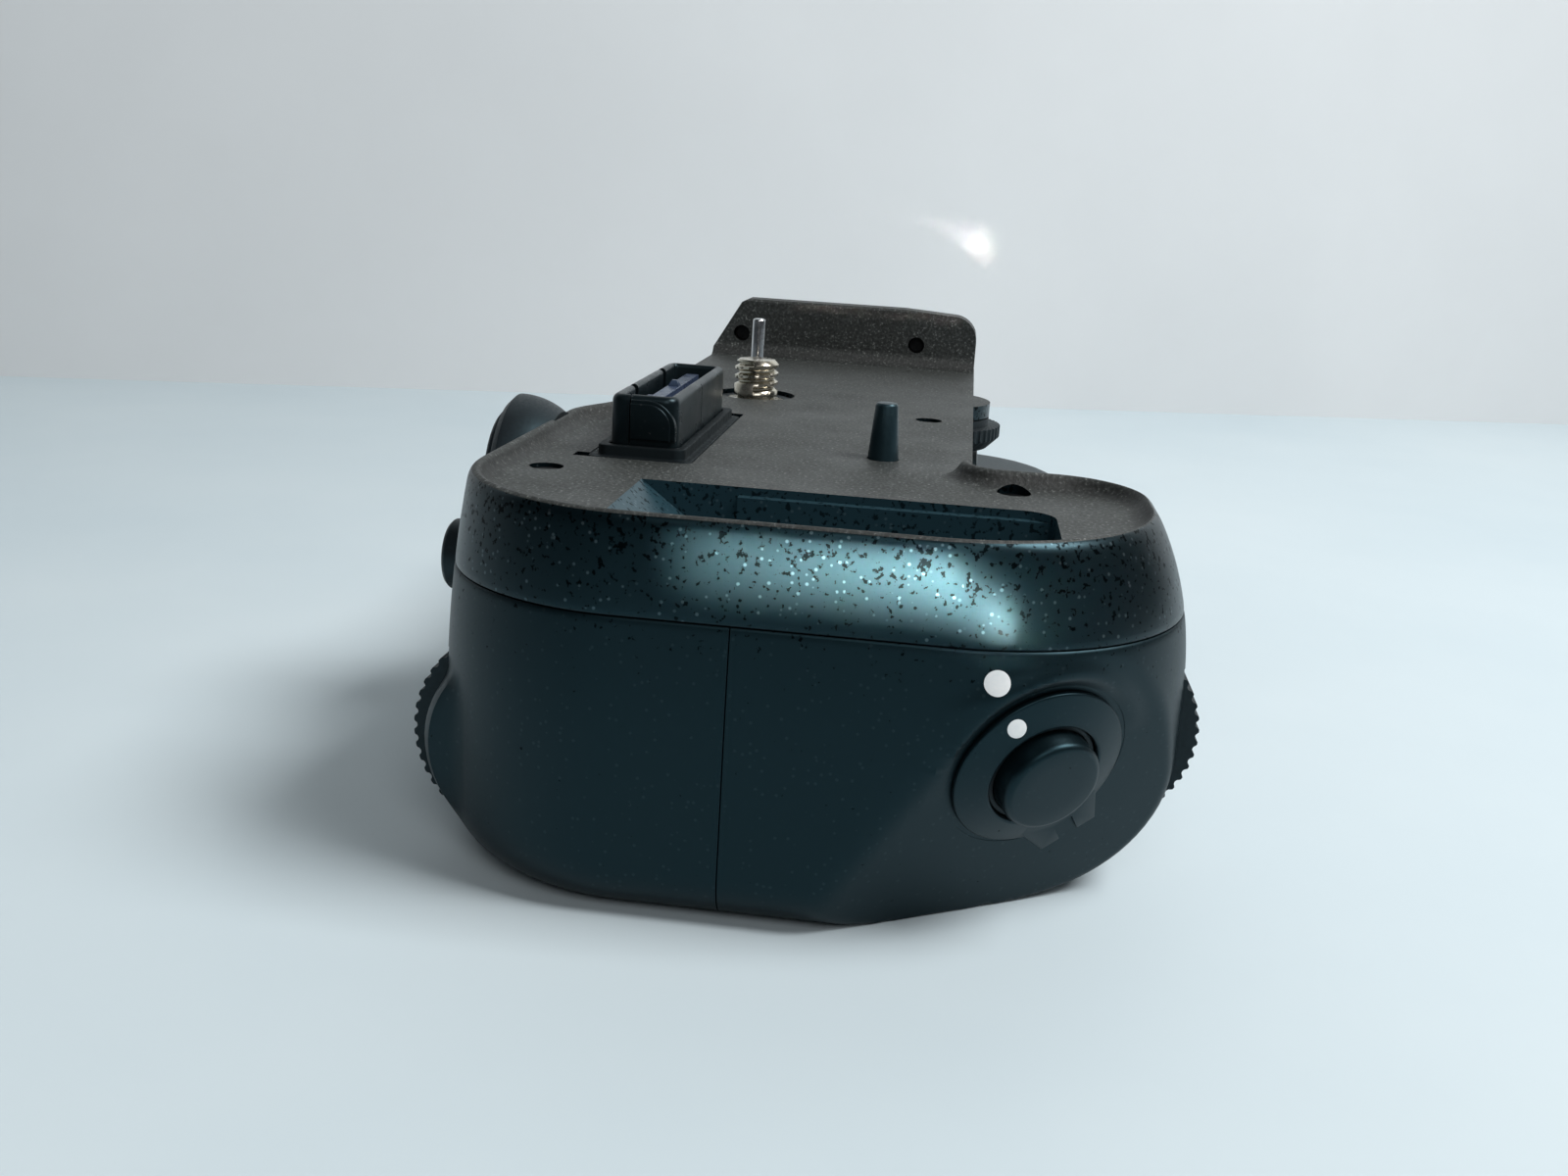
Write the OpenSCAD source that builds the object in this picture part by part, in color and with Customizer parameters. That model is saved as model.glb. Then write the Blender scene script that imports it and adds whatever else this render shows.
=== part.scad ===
// Vertical battery grip for a system camera: a shutter release with a lock ring, two control
// dials, a multi selector, a rear button, a gear-driven mounting screw and a slide-out battery tray.
// +X runs to the shutter end, +Y to the lens side and +Z up to the camera.
// The origin is the mouth of the tripod socket, on the axis of the mounting screw.

/* [Batteries] */
// Diameter of one round cell
cell_d = 14.5; // [14:0.1:15]
// Length of one round cell with its contacts
cell_l = 51.4; // [50:0.1:53]
// Wall of the battery tray between and around the cells
tray_wall = 0.7; // [0.6:0.1:1]
// Thickness of the tray's floor and cross walls
tray_floor = 1.2; // [1:0.1:1.6]
// Wall of the battery chamber
chamber_wall = 1; // [0.8:0.1:1.4]
// Running gap between the tray and the chamber
tray_gap = 0.3; // [0.2:0.05:0.4]

/* [Casings] */
// Casing wall
wall = 2; // [1.6:0.1:2.4]
// Battery end of the casings, without the end cover
far_x = -58; // [-64:0.5:-56]
// Room for the controls between the battery chamber and the shutter end
control_room = 36.8; // [36:0.1:42]
// Reach of the hand hold in front of the casing's front wall
hold_reach = 17.3; // [16:0.1:19]
// Drop from the chamber roof to the top of the hand hold
shelf_drop = 4.2; // [3.8:0.1:6]
// Height over which the front of the hand hold rolls into its top
hold_roll = 6.5; // [5:0.1:7]
// How far the shutter end swells out in front of the holding bulge
near_swell = 3.7; // [2.8:0.1:4.5]
// Height of the lower casings above the chamber roof
seam_rise = 4.3; // [4.3:0.1:6]
// Height of the upper casing, from the seam to the camera plate
band_h = 7.5; // [7:0.1:9]
// Height of the rim above the camera plate
rim_h = 1.8; // [1:0.1:2.6]
// Thickness of the rim
rim_t = 1.8; // [1.2:0.1:2.4]
// Thickness of the camera plate
plate_t = 2; // [1.6:0.1:2.4]
// Drop from the chamber roof to the level at which the casings are widest
belly_drop = 8.7; // [7:0.1:10]
// Front edge of the camera plate
plate_front_y = 31.7; // [30:0.1:33]
// Rear edge of the camera plate beyond the selector
plate_rear_y = -14.4; // [-16:0.1:-13]
// Length of the bulge at the shutter end of the upper casing
bulge_l = 37.2; // [35.5:0.1:38]
// Plan radius of the rear corner at the shutter end
rear_corner_r = 20; // [16:0.5:22]
// Plan radius of the front corner at the shutter end
front_corner_r = 22; // [18:0.5:24]
// Rounding of the base along the rear
base_r_rear = 7; // [4:0.5:9]
// Rounding of the base at the shutter end
base_r_end = 5; // [3:0.5:7]
// Rounding of the base along the front
base_r_front = 15; // [10:0.5:16]
// Lean of the rear face above the belly, per square millimetre of height
rear_lean = 0.0035; // [0:0.0005:0.005]
// Lean of the shutter end above the belly
end_lean = 0.0026; // [0:0.0002:0.004]
// Lean of the front face above the belly, per cubic millimetre of height
front_lean = 0.00042; // [0:0.00002:0.0006]
// Place of the upright seam between the rear and front casings
split_y = 11.5; // [10.5:0.1:12.5]
// Height of the wall at the far end of the plate
far_wall_h = 10; // [7:0.5:12]
// Thickness of that wall at its top
far_wall_t = 5; // [4:0.1:6]

/* [Shutter release] */
// Turn of the shutter facet towards the front, in degrees
shutter_yaw = 31; // [28:0.5:34]
// Dip of the shutter facet, in degrees
shutter_dip = 18.5; // [16:0.5:22]
// Depth of the facet's centre behind the shutter end
shutter_back = 5.9; // [5.5:0.1:6.5]
// Depth of the facet's centre behind the front face
shutter_in = 14.6; // [14:0.1:15.4]
// Height of the facet's centre
shutter_z = 17; // [16:0.1:18]
// Radius of the lock ring
ring_r = 8.6; // [8:0.1:9]
// Height of the lock ring's inner edge above the facet
ring_h = 1.5; // [1.2:0.1:2]
// Height of the lock ring's outer edge above the facet
ring_edge = 0.6; // [0.4:0.05:0.9]
// Radius of the shutter button
button_r = 4.85; // [4.4:0.05:5]
// Height of the shutter button above the ring
button_rise = 1.9; // [1.2:0.1:2.2]
// Travel of the shutter button
button_travel = 0.8; // [0.5:0.1:0.9]

/* [Dials] */
// Radius of the main dial
main_dial_r = 10.9; // [10:0.1:11.5]
// Width of the main dial
main_dial_w = 6.8; // [5.5:0.1:7.5]
// Distance of the main dial's near face from the shutter end
main_dial_back = 12.6; // [12:0.1:14]
// Height of the main dial's axis
main_dial_z = 12; // [11.8:0.1:13]
// How far the main dial stands out of the rear face
main_dial_proud = 2.1; // [1.6:0.1:2.6]
// Radius of the sub dial
sub_dial_r = 10; // [9:0.1:10.5]
// Width of the sub dial
sub_dial_w = 6.4; // [5.5:0.1:7]
// Distance of the sub dial's near face from the shutter end
sub_dial_back = 17.6; // [17:0.1:18.5]
// Height of the sub dial's axis
sub_dial_z = 17; // [16.5:0.1:18]
// How far the sub dial stands out of the front face
sub_dial_proud = 1.5; // [1:0.1:2]
// Number of grooves round a dial
dial_grooves = 48; // [36:1:56]
// Radius of the dial axles
dial_axle_r = 1.5; // [1.2:0.1:2]

/* [Rear controls] */
// Radius of the round rear button
thumb_r = 3.7; // [3.2:0.1:4]
// Distance of the rear button from the shutter end
thumb_back = 24; // [23:0.1:25]
// Depth of the rear button's axis below the seam
thumb_drop = 2; // [1:0.1:3]
// How far the rear button stands out of the rear face
thumb_proud = 2.3; // [1.6:0.1:2.8]
// Travel of the rear button
thumb_travel = 0.7; // [0.4:0.1:0.8]
// Radius of the selector housing
selector_r = 10; // [9:0.1:10.5]
// Distance of the selector's axis from the shutter end
selector_back = 48.5; // [46:0.1:50]
// Height of the selector's axis above the seam
selector_rise = 1.5; // [0.5:0.1:2.5]
// How far the selector housing stands out of the rear face
selector_proud = 3.4; // [3:0.1:4.5]
// Radius of the selector pad
pad_r = 8.3; // [7.5:0.1:8.6]

/* [Camera fixing] */
// Radius of the mounting screw, a quarter-inch thread
screw_r = 3.175; // [3.175:0.005:3.185]
// Height of the mounting screw above the plate
screw_h = 5.1; // [4:0.1:6]
// Radius of the attachment wheel
wheel_r = 11; // [10:0.1:12]
// How far the wheel stands out of the front wall
wheel_proud = 4.3; // [3:0.1:5]
// Place of the wheel along the grip
wheel_x = -10; // [-12:0.1:-8]
// Module of the gears
gear_module = 0.7; // [0.7:0.005:0.71]
// Teeth of the gear on the wheel
wheel_teeth = 14; // [14:1:15]
// Teeth of the idler gear
idler_teeth = 26; // [26:1:28]
// Teeth of the gear on the screw
screw_teeth = 14; // [14:1:15]
// Thickness of the gears
gear_h = 2.4; // [1.8:0.1:2.6]
// Play between the teeth, along the pitch circle
tooth_play = 0.24; // [0.16:0.02:0.3]
// Radius of the steel locating pin
pin_r = 0.95; // [0.8:0.05:1.2]
// Height of the steel locating pin above the plate
pin_h = 9.8; // [6:0.1:11]
// Place of the steel locating pin
pin_at = [-12, -1.7];
// Radius of the locating peg at its foot
peg_r = 1.8; // [1.5:0.1:2.2]
// Height of the locating peg above the plate
peg_h = 6.5; // [4:0.1:8]
// Place of the locating peg
peg_at = [44.7, 21.4];
// Radius of the tripod socket, a quarter-inch thread
socket_r = 3.175; // [3.175:0.005:3.185]
// Depth of the tripod socket
socket_depth = 5.5; // [5:0.1:6]

/* [Connector] */
// Place of the connector's middle on the plate
connector_at = [39.7, -4.6];
// Length of the connector
connector_l = 31.6; // [28:0.1:33]
// Width of the connector
connector_w = 7.6; // [7:0.1:8.4]
// Height of the connector above the plate
connector_h = 6.7; // [5:0.1:7.5]
// Wall of the connector
connector_wall = 1.2; // [1:0.1:1.4]
// Width of the rubber seal round the connector
seal_w = 2; // [1.4:0.1:2.4]
// Height of the rubber seal above the plate
seal_h = 1.2; // [0.8:0.1:1.6]

/* [Cap pocket] */
// Depth of the cap pocket below the plate
pocket_d = 5; // [4.2:0.1:5.2]
// Distance of the pocket's far side from the shutter end
pocket_back = 24.6; // [23:0.1:25]
// Width of the pocket along the grip
pocket_w = 18.6; // [16:0.1:19]
// Rear end of the pocket
pocket_y0 = -2; // [-3:0.1:0]
// Front end of the pocket
pocket_y1 = 40; // [37:0.1:40.4]
// Length of the ramp at the pocket's rear end
pocket_ramp = 6.7; // [4:0.1:8]
// Drop from the plate to the rib along the pocket's far side
rib_drop = 0.85; // [0.5:0.05:1.5]

/* [Fits] */
// Running clearance of shafts and journals, on the radius
run_gap = 0.06; // [0.03:0.01:0.09]
// Clearance of fixed pieces in their seats
seat_gap = 0.1; // [0.05:0.01:0.15]
// Clearance round pieces that turn or travel in the casings
free_gap = 0.35; // [0.3:0.05:0.5]
// Radius of the plate and casing screws' shanks
bolt_r = 1; // [0.8:0.1:1.2]

/* [Hidden] */
$fn = 48;

// Length of the tools that cut right through
through = 200;

// Heights, from the base up
cells_across = 3;
cells_along = 2;
socket_h = socket_depth + 0.7;
chamber_z0 = socket_h + 0.2;
tray_h = cell_d + tray_floor;
chamber_in_h = tray_h + 2 * tray_gap;
chamber_z1 = chamber_z0 + chamber_in_h + 2 * chamber_wall;
chamber_r = 4.2;
belly_z = chamber_z1 - belly_drop;
shelf_z = chamber_z1 - shelf_drop;
roll_z = shelf_z - hold_roll;
seam_z = chamber_z1 + seam_rise;
plate_z = seam_z + band_h;
plate_under_z = plate_z - plate_t;
rim_z = plate_z + rim_h;

// Widths, from the front wall back to the rear face
chamber_margin = 0.8;
chamber_gap = 0.4;
shoulder_y = plate_front_y + 1.3;
hold_y = shoulder_y + hold_reach;
front_y = hold_y + near_swell;
tray_w = cells_across * cell_d + 2 * tray_wall;
chamber_in_w = tray_w + 2 * tray_gap;
chamber_y1 = shoulder_y - wall - chamber_gap;
chamber_y0 = chamber_y1 - chamber_in_w - 2 * chamber_wall;
rear_y = chamber_y0 - chamber_margin - wall;

// Lengths, from the battery end to the shutter end
end_gap = 2;
chamber_x0 = far_x + wall + end_gap;
tray_x0 = chamber_x0 + 0.4;
tray_l = cells_along * cell_l + (cells_along + 1) * tray_floor;
contact_room = 1.4;
chamber_x1 = tray_x0 + tray_l + contact_room + chamber_wall;
near_x = chamber_x1 + control_room;
bulge_x = near_x - bulge_l;
far_corner_r = 6;
base_r_far = 3;
swell_x0 = bulge_x - 12.5;
swell_x1 = bulge_x + 1.5;
step_x0 = 26;
step_x1 = 38;
bulge_corner_r = 9;
bulge_fillet_r = 3;
cover_t = 2;

// Outlines of the casings, level by level
function arc(c, r, from, to, n) =
    [for (i = [0:n]) let (a = from + (to - from) * i / n) c + r * [cos(a), sin(a)]];
function ease(p, q, n) =
    [for (i = [0:n]) let (t = i / n) [p.x + (q.x - p.x) * t, p.y + (q.y - p.y) * t * t * (3 - 2 * t)]];
function lean(z, k, power = 2) = z > belly_z ? k * pow(z - belly_z, power) : 0;
function base_in(z, r) = z >= r ? 0 : r - sqrt(r * r - pow(r - z, 2));
function rear_at(z) = rear_y + lean(z, rear_lean) + base_in(z, base_r_rear);
function end_at(z) = near_x - lean(z, end_lean) - base_in(z, base_r_end);
function front_at(z) = front_y - lean(z, front_lean, 3) - base_in(z, base_r_front);
// The hand hold rolls over into its flat top, which runs back to the casing's front wall
function shoulder_in(z) =
    let (t = min(max((z - roll_z) / hold_roll, 0), 1)) hold_reach * (1 - pow(1 - pow(t, 2.5), 0.4));
function hold_at(z) = hold_y - shoulder_in(z) - base_in(z, base_r_front);
function far_rear_at(z) =
    let (t = (z - seam_z) / band_h, foot = rear_at(seam_z)) foot + (plate_rear_y - foot) * min(max(t, 0), 1);

// Plan outline of the lower casings at a height, set in by g, with tighter corners inside
tight = 1.5;
function lower(z, g = 0, roof = 0, s = 1) =
    let (yr = rear_at(z) + g,
         xe = end_at(z) - g,
         yf = front_at(z) - g,
         yh = hold_at(min(z + roof, seam_z)) - g,
         xf = far_x + base_in(z, base_r_far) + g,
         r_rear = rear_corner_r - g - base_in(z, base_r_end),
         r_front = front_corner_r - g - base_in(z, base_r_front) / 2,
         r_far = far_corner_r - g * tight)
    concat(arc([xf + r_far, yr + r_far], r_far, 180, 270, 3),
           arc([xe - r_rear, yr + r_rear], r_rear, 270, 360, round(10 * s)),
           arc([xe - r_front, yf - r_front], r_front, 0, 90, round(12 * s)),
           ease([swell_x1, yf], [swell_x0, yh], round(8 * s)),
           arc([xf + r_far, yh - r_far], r_far, 90, 180, 3));

// Plan outline of the upper casing at a height, set in by g
function upper(z, g = 0) =
    let (yr = rear_at(z) + g,
         yfar = far_rear_at(z) + g,
         xe = end_at(z) - g,
         yf = front_at(z) - g,
         yp = plate_front_y - g,
         xb = bulge_x + g,
         xf = far_x + g,
         r_rear = rear_corner_r - g,
         r_front = front_corner_r - g,
         r_back = bulge_corner_r - g,
         r_fillet = bulge_fillet_r + g,
         r_far = far_corner_r - g)
    concat(arc([xf + r_far, yfar + r_far], r_far, 180, 270, 4),
           ease([step_x0, yfar], [step_x1, yr], 6),
           arc([xe - r_rear, yr + r_rear], r_rear, 270, 360, 10),
           arc([xe - r_front, yf - r_front], r_front, 0, 90, 12),
           arc([xb + r_back, yf - r_back], r_back, 90, 180, 6),
           arc([xb - r_fillet, yp + r_fillet], r_fillet, 0, -90, 4),
           arc([xf + r_far, yp - r_far], r_far, 90, 180, 4));

// A solid lofted through closed outlines of equal length; hub is a plan point that sees every corner
module loft(rings, heights, hub) {
    n = len(rings[0]);
    m = len(rings);
    points = concat([for (k = [0:m - 1]) for (p = rings[k]) [p.x, p.y, heights[k]]],
                    [[hub.x, hub.y, heights[0]], [hub.x, hub.y, heights[m - 1]]]);
    sides = [for (k = [0:m - 2]) for (i = [0:n - 1]) let (j = (i + 1) % n, a = k * n, b = a + n)
             each [[a + i, b + i, b + j], [a + i, b + j, a + j]]];
    foot = [for (i = [0:n - 1]) [m * n, i, (i + 1) % n]];
    lid = [for (i = [0:n - 1]) let (a = (m - 1) * n) [m * n + 1, a + (i + 1) % n, a + i]];
    polyhedron(points, concat(sides, foot, lid), convexity = 6);
}

hub_at = [near_x - 24, 10];
roll_zs = [for (t = [0, 0.35, 0.6, 0.8, 0.93, 1]) roll_z + hold_roll * t];
module lower_form() {
    zs = concat([0, 0.6, 1.8, 3.8, 7, 11], roll_zs, [(shelf_z + seam_z) / 2, seam_z]);
    loft([for (z = zs) lower(z)], zs, hub_at);
}
module lower_hollow() {
    zs = concat([wall, wall + 2, 7.5], [for (z = roll_zs) z - wall], [seam_z - 5, seam_z + 1]);
    loft([for (z = zs) lower(min(z, seam_z), wall, wall, 0.6)], zs, hub_at);
}
module upper_form() {
    zs = [seam_z, seam_z + band_h / 2, plate_z, rim_z - 0.5, rim_z];
    loft([for (z = zs) upper(z, z == rim_z ? 0.4 : 0)], zs, hub_at);
}

// Round tools along the three axes
module rod_x(p, r, l) {
    translate(p) rotate([0, 90, 0]) cylinder(r = r, h = l);
}
module rod_y(p, r, l) {
    translate(p) rotate([-90, 0, 0]) cylinder(r = r, h = l);
}
module rod_z(p, r, l) {
    translate(p) cylinder(r = r, h = l);
}
module block(p, q) {
    translate(p) cube(q - p);
}
// A flat outline with round corners, from corner p to corner q
module round_rect(p, q, r) {
    translate([p.x + r, p.y]) square([q.x - p.x - 2 * r, q.y - p.y]);
    translate([p.x, p.y + r]) square([q.x - p.x, q.y - p.y - 2 * r]);
    for (x = [p.x + r, q.x - r])
        for (y = [p.y + r, q.y - r])
            translate([x, y]) circle(r);
}
// An outline drawn in Y and Z, pushed along X from x0 to x1
module push_x(x0, x1) {
    translate([x0, 0, 0]) rotate([90, 0, 90]) linear_extrude(x1 - x0) children();
}

// The shutter facet's own frame: Z out of the facet, X down along it and Y to the front
shutter_at = [near_x - shutter_back, front_y - shutter_in, shutter_z];
module at_shutter() {
    translate(shutter_at) rotate([0, 90 + shutter_dip, shutter_yaw]) children();
}
module beyond_facet(depth = 0) {
    reach = 80;
    at_shutter() translate([-reach, -reach, -depth]) cube([2 * reach, 2 * reach, reach]);
}

// Shutter release, outwards from the facet
ring_gap = 0.15;
ring_bore_r = button_r + 0.6;
bush_r = ring_bore_r - run_gap;
bush_bore_r = button_r + run_gap;
bush_flange_r = 7.6;
bush_flange_t = 1.5;
stem_r = 2;
guide_floor = 2.6;
guide_depth = 5.2;
stem_depth = 6;
board_depth = stem_depth + button_travel + 1.3;
button_top = ring_h + button_rise;
head_depth = guide_floor - button_travel - 0.2;
ring_lip = 0.3;
tab_at = 34.6;
tab_rise = 0.2;
tab_foot_r = 6.6;
tab_r = 10.5;
tab_half_w = 3;
tab_foot_half_w = 4.2;

module shutter_lock_ring() {
    color("#191a1c") at_shutter() difference() {
        union() {
            translate([0, 0, ring_gap]) cylinder(r = ring_r, h = ring_edge - ring_gap);
            translate([0, 0, ring_edge])
                cylinder(r1 = ring_r, r2 = ring_bore_r + ring_lip, h = ring_h - ring_edge);
            rotate(tab_at) translate([0, 0, ring_gap]) linear_extrude(ring_edge + tab_rise - ring_gap)
                polygon([[tab_foot_r, -tab_foot_half_w], [tab_r, -tab_half_w], [tab_r, tab_half_w],
                         [tab_foot_r, tab_foot_half_w]]);
        }
        cylinder(r = ring_bore_r, h = 8, center = true);
        rotate(tab_at) translate([ring_r - tab_rise, -1, ring_edge - tab_rise]) cube([4, 2, 2]);
    }
}

module shutter_button() {
    color("#1c1d1f") at_shutter() {
        rotate_extrude() difference() {
            polygon([[0, -stem_depth], [stem_r, -stem_depth], [stem_r, -head_depth], [button_r, -head_depth],
                     [button_r, button_top - 0.6], [button_r - 0.5, button_top - 0.1], [0, button_top]]);
        }
    }
}

module shutter_bush() {
    color("#26272a") at_shutter() rotate_extrude() polygon([
        [stem_r + run_gap, -guide_depth], [bush_r, -guide_depth], [bush_r, -wall - bush_flange_t - seat_gap],
        [bush_flange_r, -wall - bush_flange_t - seat_gap], [bush_flange_r, -wall - seat_gap],
        [bush_r, -wall - seat_gap], [bush_r, ring_h - 0.5], [bush_bore_r, ring_h - 0.5],
        [bush_bore_r, -guide_floor], [stem_r + run_gap, -guide_floor]]);
}

// The board hangs on two legs that reach forward to the bush
switch_board_l = 10.4;
switch_board_w = 8;
switch_board_t = 1;
leg_w = 3;
leg_t = 1;
module shutter_board() {
    color("#1d3b2a") at_shutter() {
        translate([-switch_board_l / 2, -switch_board_w / 2, -board_depth - switch_board_t])
            cube([switch_board_l, switch_board_w, switch_board_t]);
        translate([0, 0, -board_depth]) cylinder(r = leg_w / 2, h = leg_t);
        for (side = [-1, 1])
            translate([side * (switch_board_l / 2 - leg_t) - leg_t / 2, -leg_w / 2, -board_depth])
                cube([leg_t, leg_w, board_depth - guide_depth]);
    }
}

// A dial with round grooves in its rim, its axle along X, from its far face
module grooved_dial(r, w) {
    rotate([90, 0, 90]) linear_extrude(w) difference() {
        circle(r);
        circle(dial_axle_r + run_gap);
        for (i = [0:dial_grooves - 1])
            rotate(i * 360 / dial_grooves) translate([r + 0.1, 0]) circle(0.45, $fn = 24);
    }
}

main_dial_x1 = near_x - main_dial_back;
main_dial_x0 = main_dial_x1 - main_dial_w;
main_dial_at = [main_dial_x0, rear_y - main_dial_proud + main_dial_r, main_dial_z];
sub_dial_x1 = near_x - sub_dial_back;
sub_dial_x0 = sub_dial_x1 - sub_dial_w;
sub_dial_at = [sub_dial_x0, front_y + sub_dial_proud - sub_dial_r, sub_dial_z];
cheek_t = 2;
cheek_half = 4.5;
cheek_reach = 30;
hood_in = 1.7;
hood_x0 = main_dial_x0 - free_gap - 7;
hood_x1 = main_dial_x1 + free_gap + 4.6;

module main_dial() {
    color("#17181a") translate(main_dial_at) grooved_dial(main_dial_r, main_dial_w);
}
module sub_dial() {
    color("#17181a") translate(sub_dial_at) grooved_dial(sub_dial_r, sub_dial_w);
}
module dial_axle(at, w) {
    rod_x(at - [free_gap + cheek_t, 0, 0], dial_axle_r, w + 2 * (free_gap + cheek_t));
}
module main_dial_axle() {
    color("#b9bcc0") dial_axle(main_dial_at, main_dial_w);
}
module sub_dial_axle() {
    color("#b9bcc0") dial_axle(sub_dial_at, sub_dial_w);
}
// The two cheeks that carry a dial's axle, reaching from the axle to the casing wall
module dial_cheeks(at, w, toward) {
    for (x = [at.x - free_gap - cheek_t, at.x + w + free_gap])
        translate([x, toward > 0 ? at.y - cheek_half : at.y + cheek_half - cheek_reach, at.z - cheek_half])
            cube([cheek_t, cheek_reach, 2 * cheek_half]);
}
module dial_room(at, r, w) {
    rod_x(at - [free_gap, 0, 0], r + free_gap, w + 2 * free_gap);
}
// The rounded hood that the rear casing forms round the main dial
module dial_hood() {
    r = main_dial_r - hood_in;
    nose = r * 0.55;
    l = hood_x1 - hood_x0;
    translate([hood_x0, main_dial_at.y, main_dial_z]) rotate([0, 90, 0]) rotate_extrude() {
        square([r - nose, l]);
        translate([0, nose]) square([r, l - 2 * nose]);
        for (y = [nose, l - nose])
            translate([r - nose, y]) intersection() {
                circle(nose);
                translate([0, -nose]) square([nose, 2 * nose]);
            }
    }
}

// Posts in the lower casings that take the two screws at the shutter end of the plate
post_r = 2.1;
rear_post_at = [near_x - 27.1, rear_y + 7];
front_post_at = [bulge_x + 3.9, plate_front_y + 4.4];
chamber_screw_at = [12.6, plate_front_y - 6];
plate_screw_spots = [rear_post_at, front_post_at, chamber_screw_at];
bolt_head_r = 1.7;
bolt_head_h = 1.2;
bolt_l = 6;
head_room_r = bolt_head_r + seat_gap;

// Screws in the base, from the casings up into the feet of the chamber
base_bolt_spots = [
    for (x = [chamber_x0 + 6, chamber_x1 - 12])
        for (y = [chamber_y0 + 7, chamber_y1 - 9]) [x, y]];
foot_r = 3;

// Rear button and selector seats, which cross the seam
thumb_at = [near_x - thumb_back, rear_y - thumb_proud, seam_z - thumb_drop];
thumb_dish_r = thumb_r + 3.4;
thumb_floor_y = rear_y + 1.5;
bezel_r = thumb_r + 1;
bezel_flange_r = bezel_r + 1.2;
bezel_flange_t = 1.4;
inner_rear_y = rear_y + wall + 0.6;
selector_at = [near_x - selector_back, rear_y - selector_proud, seam_z + selector_rise];
selector_back_y = chamber_y0 - 0.2;
selector_back_r = selector_r - 1.8;
selector_edge = 0.8;

// The selector housing narrows in a smooth curve behind the edge of its face
module selector_dome(more = 0) {
    depth = selector_back_y - selector_at.y - selector_edge;
    fall = selector_r - selector_back_r;
    dome_r = (depth * depth + fall * fall) / (2 * fall);
    translate(selector_at + [0, selector_edge, 0]) rotate([-90, 0, 0]) rotate_extrude() intersection() {
        translate([selector_r - dome_r, 0]) circle(dome_r + more);
        square([selector_r + more, depth + more]);
    }
}

module rear_seats() {
    rod_y([thumb_at.x, thumb_at.y - 10, thumb_at.z], bezel_r + seat_gap, 22);
    translate([thumb_at.x, thumb_floor_y, thumb_at.z]) rotate([90, 0, 0])
        cylinder(r1 = thumb_dish_r - 1.6, r2 = thumb_dish_r + 1.6, h = 4);
    rod_y([thumb_at.x, inner_rear_y, thumb_at.z], bezel_flange_r + seat_gap, bezel_flange_t + seat_gap);
    selector_dome(seat_gap);
}
module base_holes() {
    for (p = base_bolt_spots) {
        rod_z([p.x, p.y, -1], bolt_r + seat_gap, wall + 2);
        rod_z([p.x, p.y, -1], bolt_head_r + 0.3 + seat_gap, 1 + bolt_head_h + 0.2);
    }
}
// Mouth of the battery chamber in the end of the casings
mouth_gap = 0.5;
module mouth() {
    push_x(far_x - 1, far_x + wall + 1)
        round_rect([chamber_y0 - mouth_gap, chamber_z0 - mouth_gap],
                   [chamber_y1 + mouth_gap, chamber_z1 + mouth_gap], chamber_r + mouth_gap);
}

module rear_casing() {
    color("#1b1c1e") difference() {
        union() {
            intersection() {
                lower_form();
                block([far_x - 5, rear_y - 30, -5], [near_x + 5, split_y, seam_z + 5]);
            }
            dial_hood();
        }
        difference() {
            lower_hollow();
            dial_cheeks(main_dial_at, main_dial_w, -1);
            rod_z([rear_post_at.x, rear_post_at.y, 0], post_r, seam_z);
        }
        rod_x(main_dial_at - [free_gap + cheek_t + 0.5, 0, 0], dial_axle_r + seat_gap,
              main_dial_w + 2 * (free_gap + cheek_t) + 1);
        dial_room(main_dial_at, main_dial_r, main_dial_w);
        rear_seats();
        rod_z([0, 0, -1], socket_barrel_r + seat_gap, wall + 2);
        base_holes();
        mouth();
        rod_z([rear_post_at.x, rear_post_at.y, seam_z - bolt_l], bolt_r + seat_gap, plate_z);
    }
}

module front_casing() {
    color("#1b1c1e") difference() {
        intersection() {
            lower_form();
            block([far_x - 5, split_y, -5], [near_x + 5, front_y + 30, seam_z + 5]);
        }
        beyond_facet();
        difference() {
            lower_hollow();
            beyond_facet(wall);
            dial_cheeks(sub_dial_at, sub_dial_w, 1);
            rod_z([front_post_at.x, front_post_at.y, 0], post_r, seam_z);
        }
        at_shutter() cylinder(r = ring_r + 0.6, h = 20);
        at_shutter() translate([0, 0, -8]) cylinder(r = bush_r + seat_gap, h = 20);
        rod_x(sub_dial_at - [free_gap + cheek_t + 0.5, 0, 0], dial_axle_r + seat_gap,
              sub_dial_w + 2 * (free_gap + cheek_t) + 1);
        dial_room(sub_dial_at, sub_dial_r, sub_dial_w);
        base_holes();
        mouth();
        rubber_band(seat_gap);
        rod_z([front_post_at.x, front_post_at.y, seam_z - bolt_l], bolt_r + seat_gap, plate_z);
    }
}

// Rubber hand grip let into the front of the holding bulge
rubber_t = 0.9;
rubber_x0 = far_x + 12;
rubber_x1 = swell_x0 - 2;
rubber_steps = 9;
rubber_z0 = 5;
rubber_z1 = shelf_z - 2;
module rubber_band(more = 0) {
    rise = (rubber_z1 - rubber_z0 + 2 * more) / rubber_steps;
    zs = [for (i = [0:rubber_steps]) rubber_z0 - more + rise * i];
    outer = [for (z = zs) [hold_at(z) + more * 4, z]];
    inner = [for (i = [rubber_steps:-1:0]) [hold_at(zs[i]) - rubber_t - more, zs[i]]];
    push_x(rubber_x0 - more, rubber_x1 + more) polygon(concat(outer, inner));
}
module grip_rubber() {
    color("#141516") rubber_band();
}

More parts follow.
